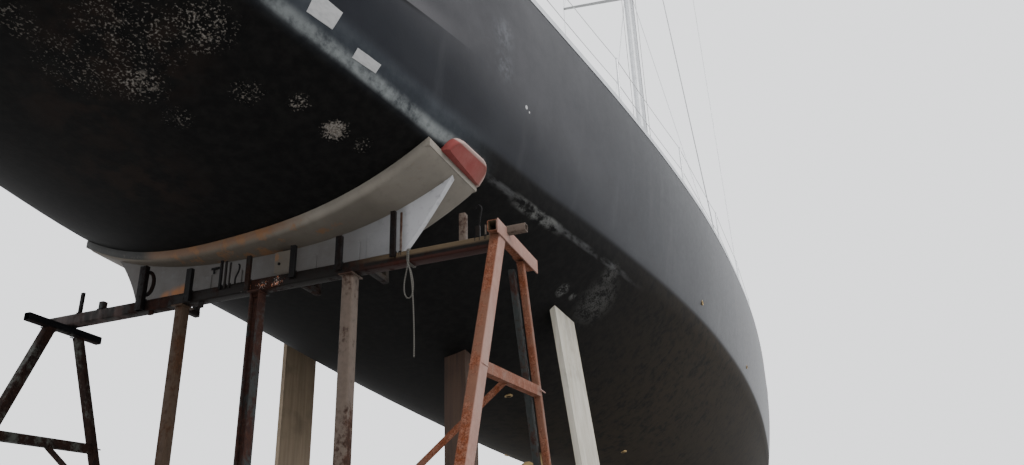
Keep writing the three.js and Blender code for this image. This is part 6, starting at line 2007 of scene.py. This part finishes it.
for grow, low, high in ((0.05, -0.01, 0.03), (0.022, 0.02, 0.11)):
    rows = []
    for g, z in ((grow, low), (grow, high - 0.008), (grow - 0.010, high), (0.0, high + 0.002)):
        rows.append([(MAST_X + (HALF_CHORD + g) * math.cos(t), (HALF_WIDTH + g) * math.sin(t), base + z)
                     for t in turns])
    collar.skin(rows)
collar.put("mast_collar", gloss_white, slot="deck_paint", smooth=50)
top = Piece()
top.tube([(MAST_X + 0.05, 0, MAST_TOP - 0.02), (MAST_X + 0.05, 0, MAST_TOP - 0.005)], 0.03, 16)
top.put("masthead_cap", black_plastic, slot=None, smooth=50)

for name, z, reach, sweep in SPREADERS:
    pair = Piece()
    for side in (-1, 1):
        root, tip = Vector((MAST_X, 0, z)), Vector((MAST_X - sweep, side * reach, z + TIP_RISE))
        rows = []
        for t in np.linspace(0.04, 0.985, 12):
            middle = root.lerp(tip, t)
            chord, thick = 0.055 * (1.12 - 0.3 * t), 0.020 * (1.1 - 0.3 * t)
            rows.append([
                middle + Vector((chord * math.cos(a), 0,
                                 thick * math.sin(a) * (1.0 if math.cos(a) > 0 else 0.8)))
                for a in circle(20)
            ])
        pair.skin(rows)
    pair.put(f"spreaders_{name}_foils", spar_alloy, slot="anodised_alloy", smooth=60,
             replaces=("spreaders_" + name,))
    boots = Piece()
    for side in (-1, 1):
        boots.ball((MAST_X - sweep * 0.985, side * reach * 0.99, z + TIP_RISE), 0.030, 16)
    boots.put(f"spreaders_{name}_boots", white_tape, slot=None, smooth=60)
print("mast and", len(SPREADERS), "pairs of spreaders")

# %% [markdown]
# The boom hangs on the gooseneck's pin and is held up by a rigid vang, which turns with it about
# the same upright line, so it rides on the boom. Its section is a soft oval with a groove on top.

# %% Boom
GOOSENECK_X = MAST_X - HALF_CHORD - 0.12
BOOM_LENGTH = 8.3
BOOM_ROWS = [(-BOOM_LENGTH, 0.75), (-BOOM_LENGTH + 1.8, 1.0), (-0.9, 1.0), (-0.07, 0.8)]
boom = Piece()
rows = []
for ahead in np.linspace(-BOOM_LENGTH, -0.07, 30):
    k = float(np.interp(ahead, [r[0] for r in BOOM_ROWS], [r[1] for r in BOOM_ROWS]))
    ring = []
    for t in turns:
        up = math.cos(t)
        groove = 0.10 if up > 0.985 else 0.0
        ring.append((GOOSENECK_X + ahead, k * 0.095 * math.sin(t), GOOSENECK_Z + k * 0.135 * (up - groove)))
    rows.append(ring)
boom.skin(rows)
boom.section(rounded(0.075, 0.11, 0.02), (GOOSENECK_X - 0.10, 0, GOOSENECK_Z),
             (GOOSENECK_X + 0.03, 0, GOOSENECK_Z))
boom.put("boom_tube", spar_alloy, body="boom", slot="anodised_alloy", smooth=45, replaces=("boom",))
gear = Piece()
gear.tube([(GOOSENECK_X, 0, GOOSENECK_Z - 0.11), (GOOSENECK_X, 0, GOOSENECK_Z + 0.11)], 0.0255, 24)
gear.sheave((GOOSENECK_X - BOOM_LENGTH + 0.03, 0, GOOSENECK_Z + 0.055), (0.060, 0.064, 0.050), (0.030, 0.026),
            28)
for ahead in (-7.2, -3.2, -2.4):
    rows = []
    for dx in (-0.02, 0.02):
        rows.append([(GOOSENECK_X + ahead + dx, 0.0985 * math.sin(t), GOOSENECK_Z + 0.1385 * math.cos(t))
                     for t in turns])
    gear.skin(rows, caps=False)
    gear.tube([(GOOSENECK_X + ahead, 0, GOOSENECK_Z - 0.13), (GOOSENECK_X + ahead, 0, GOOSENECK_Z - 0.19)],
              0.012, 12)
gear.sheave((GOOSENECK_X - 7.2, 0, GOOSENECK_Z - 0.225), (0.038, 0.040, 0.030), (0.02, 0.016), 24)
gear.put("boom_fittings", stainless, body="boom", smooth=45)
vang = Piece()
low, high = Vector((GOOSENECK_X, 0, 7.02)), Vector((GOOSENECK_X - 2.4, 0, GOOSENECK_Z - 0.155))
vang.tube([low, low.lerp(high, 0.52)], 0.036, 24)
vang.tube([low.lerp(high, 0.50), high], 0.027, 24)
vang.turned([(0.034, -0.03), (0.034, 0.03)], low, (0, 0, 1), 20)
vang.put("boom_vang", spar_alloy, body="boom", slot="anodised_alloy", smooth=50)
tang = Piece()
for z in (6.975, 7.065):
    tang.block((0.16, 0.05, 0.02), (GOOSENECK_X + 0.055, 0, z))
for side in (-1, 1):
    tang.section(rounded(0.10, 0.024, 0.006), (GOOSENECK_X - 0.03, 0, GOOSENECK_Z + side * 0.135),
                 (GOOSENECK_X + 0.13, 0, GOOSENECK_Z + side * 0.135))
tang.section(rounded(0.11, 0.29, 0.012), (GOOSENECK_X + 0.09, 0, GOOSENECK_Z),
             (GOOSENECK_X + 0.118, 0, GOOSENECK_Z))
tang.put("gooseneck_fork", stainless, smooth=40, bevel=0.002, replaces=("gooseneck",))
print("boom, vang and gooseneck")

# %% [markdown]
# The stays are thin and straight. The photograph shows two of them against the sky: the forestay,
# and a lower shroud that ends at the root of the first spreaders. Each wire ends in a bottlescrew.

# %% Stays and shrouds
def screw(made, foot, way, radius):
    """A bottlescrew: fork, body with its threads, and the swaged end of the wire."""
    way = Vector(way).normalized()
    base = Vector(foot)
    for near, far, thick, sides in ((0, 0.05, 1.5, 12), (0.05, 0.14, 1.0, 12), (0.12, 0.34, 1.9, 14),
                                    (0.34, 0.52, 1.15, 12)):
        made.tube([base + way * near, base + way * far], radius * thick, sides)


stem_x = BOW_X - 0.8
forestay_foot = Vector((stem_x, 0, deck_at(stem_x - SADDLE_X) + 0.024))
forestay_head = Vector((MAST_X + HALF_CHORD + 0.026, 0, 26.0))
way = (forestay_head - forestay_foot).normalized()
stay = Piece()
stay.tube([forestay_foot + way * 0.9, forestay_head - way * 0.5], 0.017, 16)
stay.tube([forestay_foot, forestay_head], 0.009, 10)
stay.turned([(0.03, 0.30), (0.115, 0.31), (0.118, 0.33), (0.06, 0.345), (0.052, 0.47), (0.118, 0.485),
             (0.115, 0.505), (0.04, 0.52), (0.034, 0.92), (0.02, 0.95)], forestay_foot, way, 32)
stay.turned([(0.018, -0.62), (0.034, -0.60), (0.036, -0.46), (0.030, -0.40), (0.012, -0.38)], forestay_head,
            way, 24)
screw(stay, forestay_foot - Vector((0, 0, 0.03)), way, 0.012)
stay.put("forestay_furler", stainless, smooth=50, replaces=("forestay",))
backstay_foot = Vector((SADDLE_X - 2.75, 0, deck_at(-2.75) + 0.012))
backstay_head = Vector((MAST_X - HALF_CHORD * 0.64 - 0.02, 0, MAST_TOP - 0.3))
way = (backstay_head - backstay_foot).normalized()
stay = Piece().tube([backstay_foot, backstay_head], 0.0075, 10)
screw(stay, backstay_foot - Vector((0, 0, 0.02)), way, 0.013)
stay.tube([backstay_foot + way * 0.55, backstay_foot + way * 1.15], 0.024, 16)
stay.put("backstay_wire", stainless, smooth=50, replaces=("backstay",))

plate_ahead = 11.45
plate_half = hull_at(plate_ahead)["sheer_half"] - 0.19
for side, label in SIDES:
    foot = Vector((SADDLE_X + plate_ahead, side * plate_half, deck_at(plate_ahead, plate_half) + 0.07))
    tips = [Vector((MAST_X - sweep, side * reach, z + TIP_RISE)) for _, z, reach, sweep in SPREADERS]
    head = Vector((MAST_X, side * (HALF_WIDTH + 0.014), HOUNDS))
    cap = Piece()
    for start, end, radius in ((foot, tips[0], 0.0075), (tips[0], tips[1], 0.0065), (tips[1], head, 0.0065)):
        cap.tube([start, end], radius, 10)
    screw(cap, foot, tips[0] - foot, 0.012)
    cap.section(rounded(0.10, 0.014, 0.004), foot - Vector((0, 0, 0.09)), foot + Vector((0, 0, 0.02)),
                side=(1, 0, 0))
    cap.put("shroud_" + label + "_wires", stainless, smooth=60, replaces=("shroud_" + label,))
    lower = Piece()
    near = foot + Vector((0.07, -side * 0.06, -0.02))
    root = Vector((MAST_X, side * (HALF_WIDTH - 0.004), SPREADERS[0][1] - 0.08))
    lower.tube([near, root], 0.0075, 10)
    screw(lower, near, root - near, 0.012)
    lower.section(rounded(0.08, 0.014, 0.004), near - Vector((0, 0, 0.07)), near + Vector((0, 0, 0.02)),
                  side=(1, 0, 0))
    lower.tube([tips[0], Vector((MAST_X, side * (HALF_WIDTH - 0.004), SPREADERS[1][1] - 0.08))], 0.0055, 8)
    lower.tube([tips[1], Vector((MAST_X, side * (HALF_WIDTH - 0.004), HOUNDS - 0.2))], 0.0055, 8)
    lower.put("lower_shroud_" + label, stainless, smooth=60)
halyards = Piece()
for side, x in ((-1, 0.12), (1, 0.12), (-1, -0.10), (1, -0.10)):
    run = ((1, 0.125, 7.2), (1.05, 0.135, 14.0), (0.9, 0.12, 26.4), (0.8, 0.05, MAST_TOP - 0.08))
    halyards.tube([(MAST_X + x * share, side * y, z) for share, y, z in run], 0.005, 6)
halyards.put("halyards", rope_curve.materials[0], slot="rope", smooth=60)
print("stays ready")

# %% [markdown]
# The stage: a plain pale floor, a pale sky that fills every shadow softly, and one broad lamp from
# the side the photograph's light comes from. The floor also throws light up under the hull.

# %% Stage and light
def pale_floor():
    f = Finish("pale_floor", roughness=0.9, specular=0.1)
    tone = f.noise(0.6, 4, 0.6)
    return f.surface(f.mix(tone, (0.40, 0.395, 0.385), (0.44, 0.435, 0.425)))


floor = Piece().skin([[(-600, -600, 0), (600, -600, 0)], [(-600, 600, 0), (600, 600, 0)]], around=False)
floor_mesh = bpy.data.meshes.new("floor")
floor_mesh.from_pydata(floor.points, [], floor.faces)
floor_mesh.materials.append(pale_floor())
floor_object = bpy.data.objects.new("floor", floor_mesh)
floor_object.location.z = -0.002
bpy.context.scene.collection.objects.link(floor_object)
floor_object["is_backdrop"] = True

world = bpy.data.worlds.new("sky")
bpy.context.scene.world = world
world.use_nodes = True
sky = world.node_tree.nodes["Background"]
sky.inputs["Color"].default_value = (0.80, 0.81, 0.83, 1)
sky.inputs["Strength"].default_value = 2.2


def lamp(name, place, aim, size, watts, colour=(1, 1, 1)):
    data = bpy.data.lights.new(name, "AREA")
    data.shape = "RECTANGLE"
    data.size, data.size_y = size
    data.energy = watts
    data.color = colour
    made = bpy.data.objects.new(name, data)
    turn = (Vector(aim) - Vector(place)).to_track_quat("-Z", "Y")
    made.matrix_world = Matrix.Translation(place) @ turn.to_matrix().to_4x4()
    bpy.context.scene.collection.objects.link(made)


lamp("key", (-14, -26, 26), (-4, 0, 5), (16, 16), 4600, (1.0, 0.985, 0.96))
lamp("fill", (24, 24, 22), (2, 0, 6), (18, 18), 1500, (0.95, 0.97, 1.0))
print("stage ready")

# %% Finish the remaining solids
LOOKS = {
    "centre_post": post_timber, "shore_board_port": board_timber, "shore_plank_starboard": plank_timber,
    "keel_block_aft": block_timber, "keel_block_fore": block_timber, "bow_chock": block_timber,
    "bow_stand_port": board_timber, "bow_stand_starboard": board_timber,
    "pedestal_port": gloss_white, "pedestal_starboard": gloss_white,
    "propeller_shaft": stainless, "shaft_bracket": bronze, "gooseneck": stainless,
    "mainsheet_track": spar_alloy, "companionway_slide": smoked_acrylic,
    "lazarette_hatch": smoked_acrylic, "saloon_hatch": smoked_acrylic, "cabin_hatch": smoked_acrylic,
    "fore_hatch": smoked_acrylic, "companionway_door_port": gloss_white,
    "companionway_door_starboard": gloss_white,
    "coachroof": gloss_white, "pad_starboard": red_rubber,
    "saddle_band": saddle_moulding, "saddle_web": web_moulding, "cross_beam": beam_steel,
    "post_1": brown_steel, "post_2": grey_steel, "post_3": pale_steel,
    "trestle_port": trestle_steel, "trestle_starboard": orange_steel,
    "mast": spar_alloy, "boom": spar_alloy, "spreaders_lower": spar_alloy, "spreaders_upper": spar_alloy,
}
EDGES = {"centre_post": 0.008, "shore_board_port": 0.004, "shore_plank_starboard": 0.005,
         "keel_block_aft": 0.012, "keel_block_fore": 0.012, "bow_stand_port": 0.006,
         "bow_stand_starboard": 0.006}
for name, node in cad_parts.items():
    look = LOOKS.get(name, stainless)
    node.data.materials.clear()
    node.data.materials.append(look)
    if name in EDGES:
        round_edges(node, EDGES[name], segments=2, degrees=40)
print(len(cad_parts), "nodes dressed")

# %% Measure and finish
low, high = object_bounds()
print("visual box", tuple(low), tuple(high))
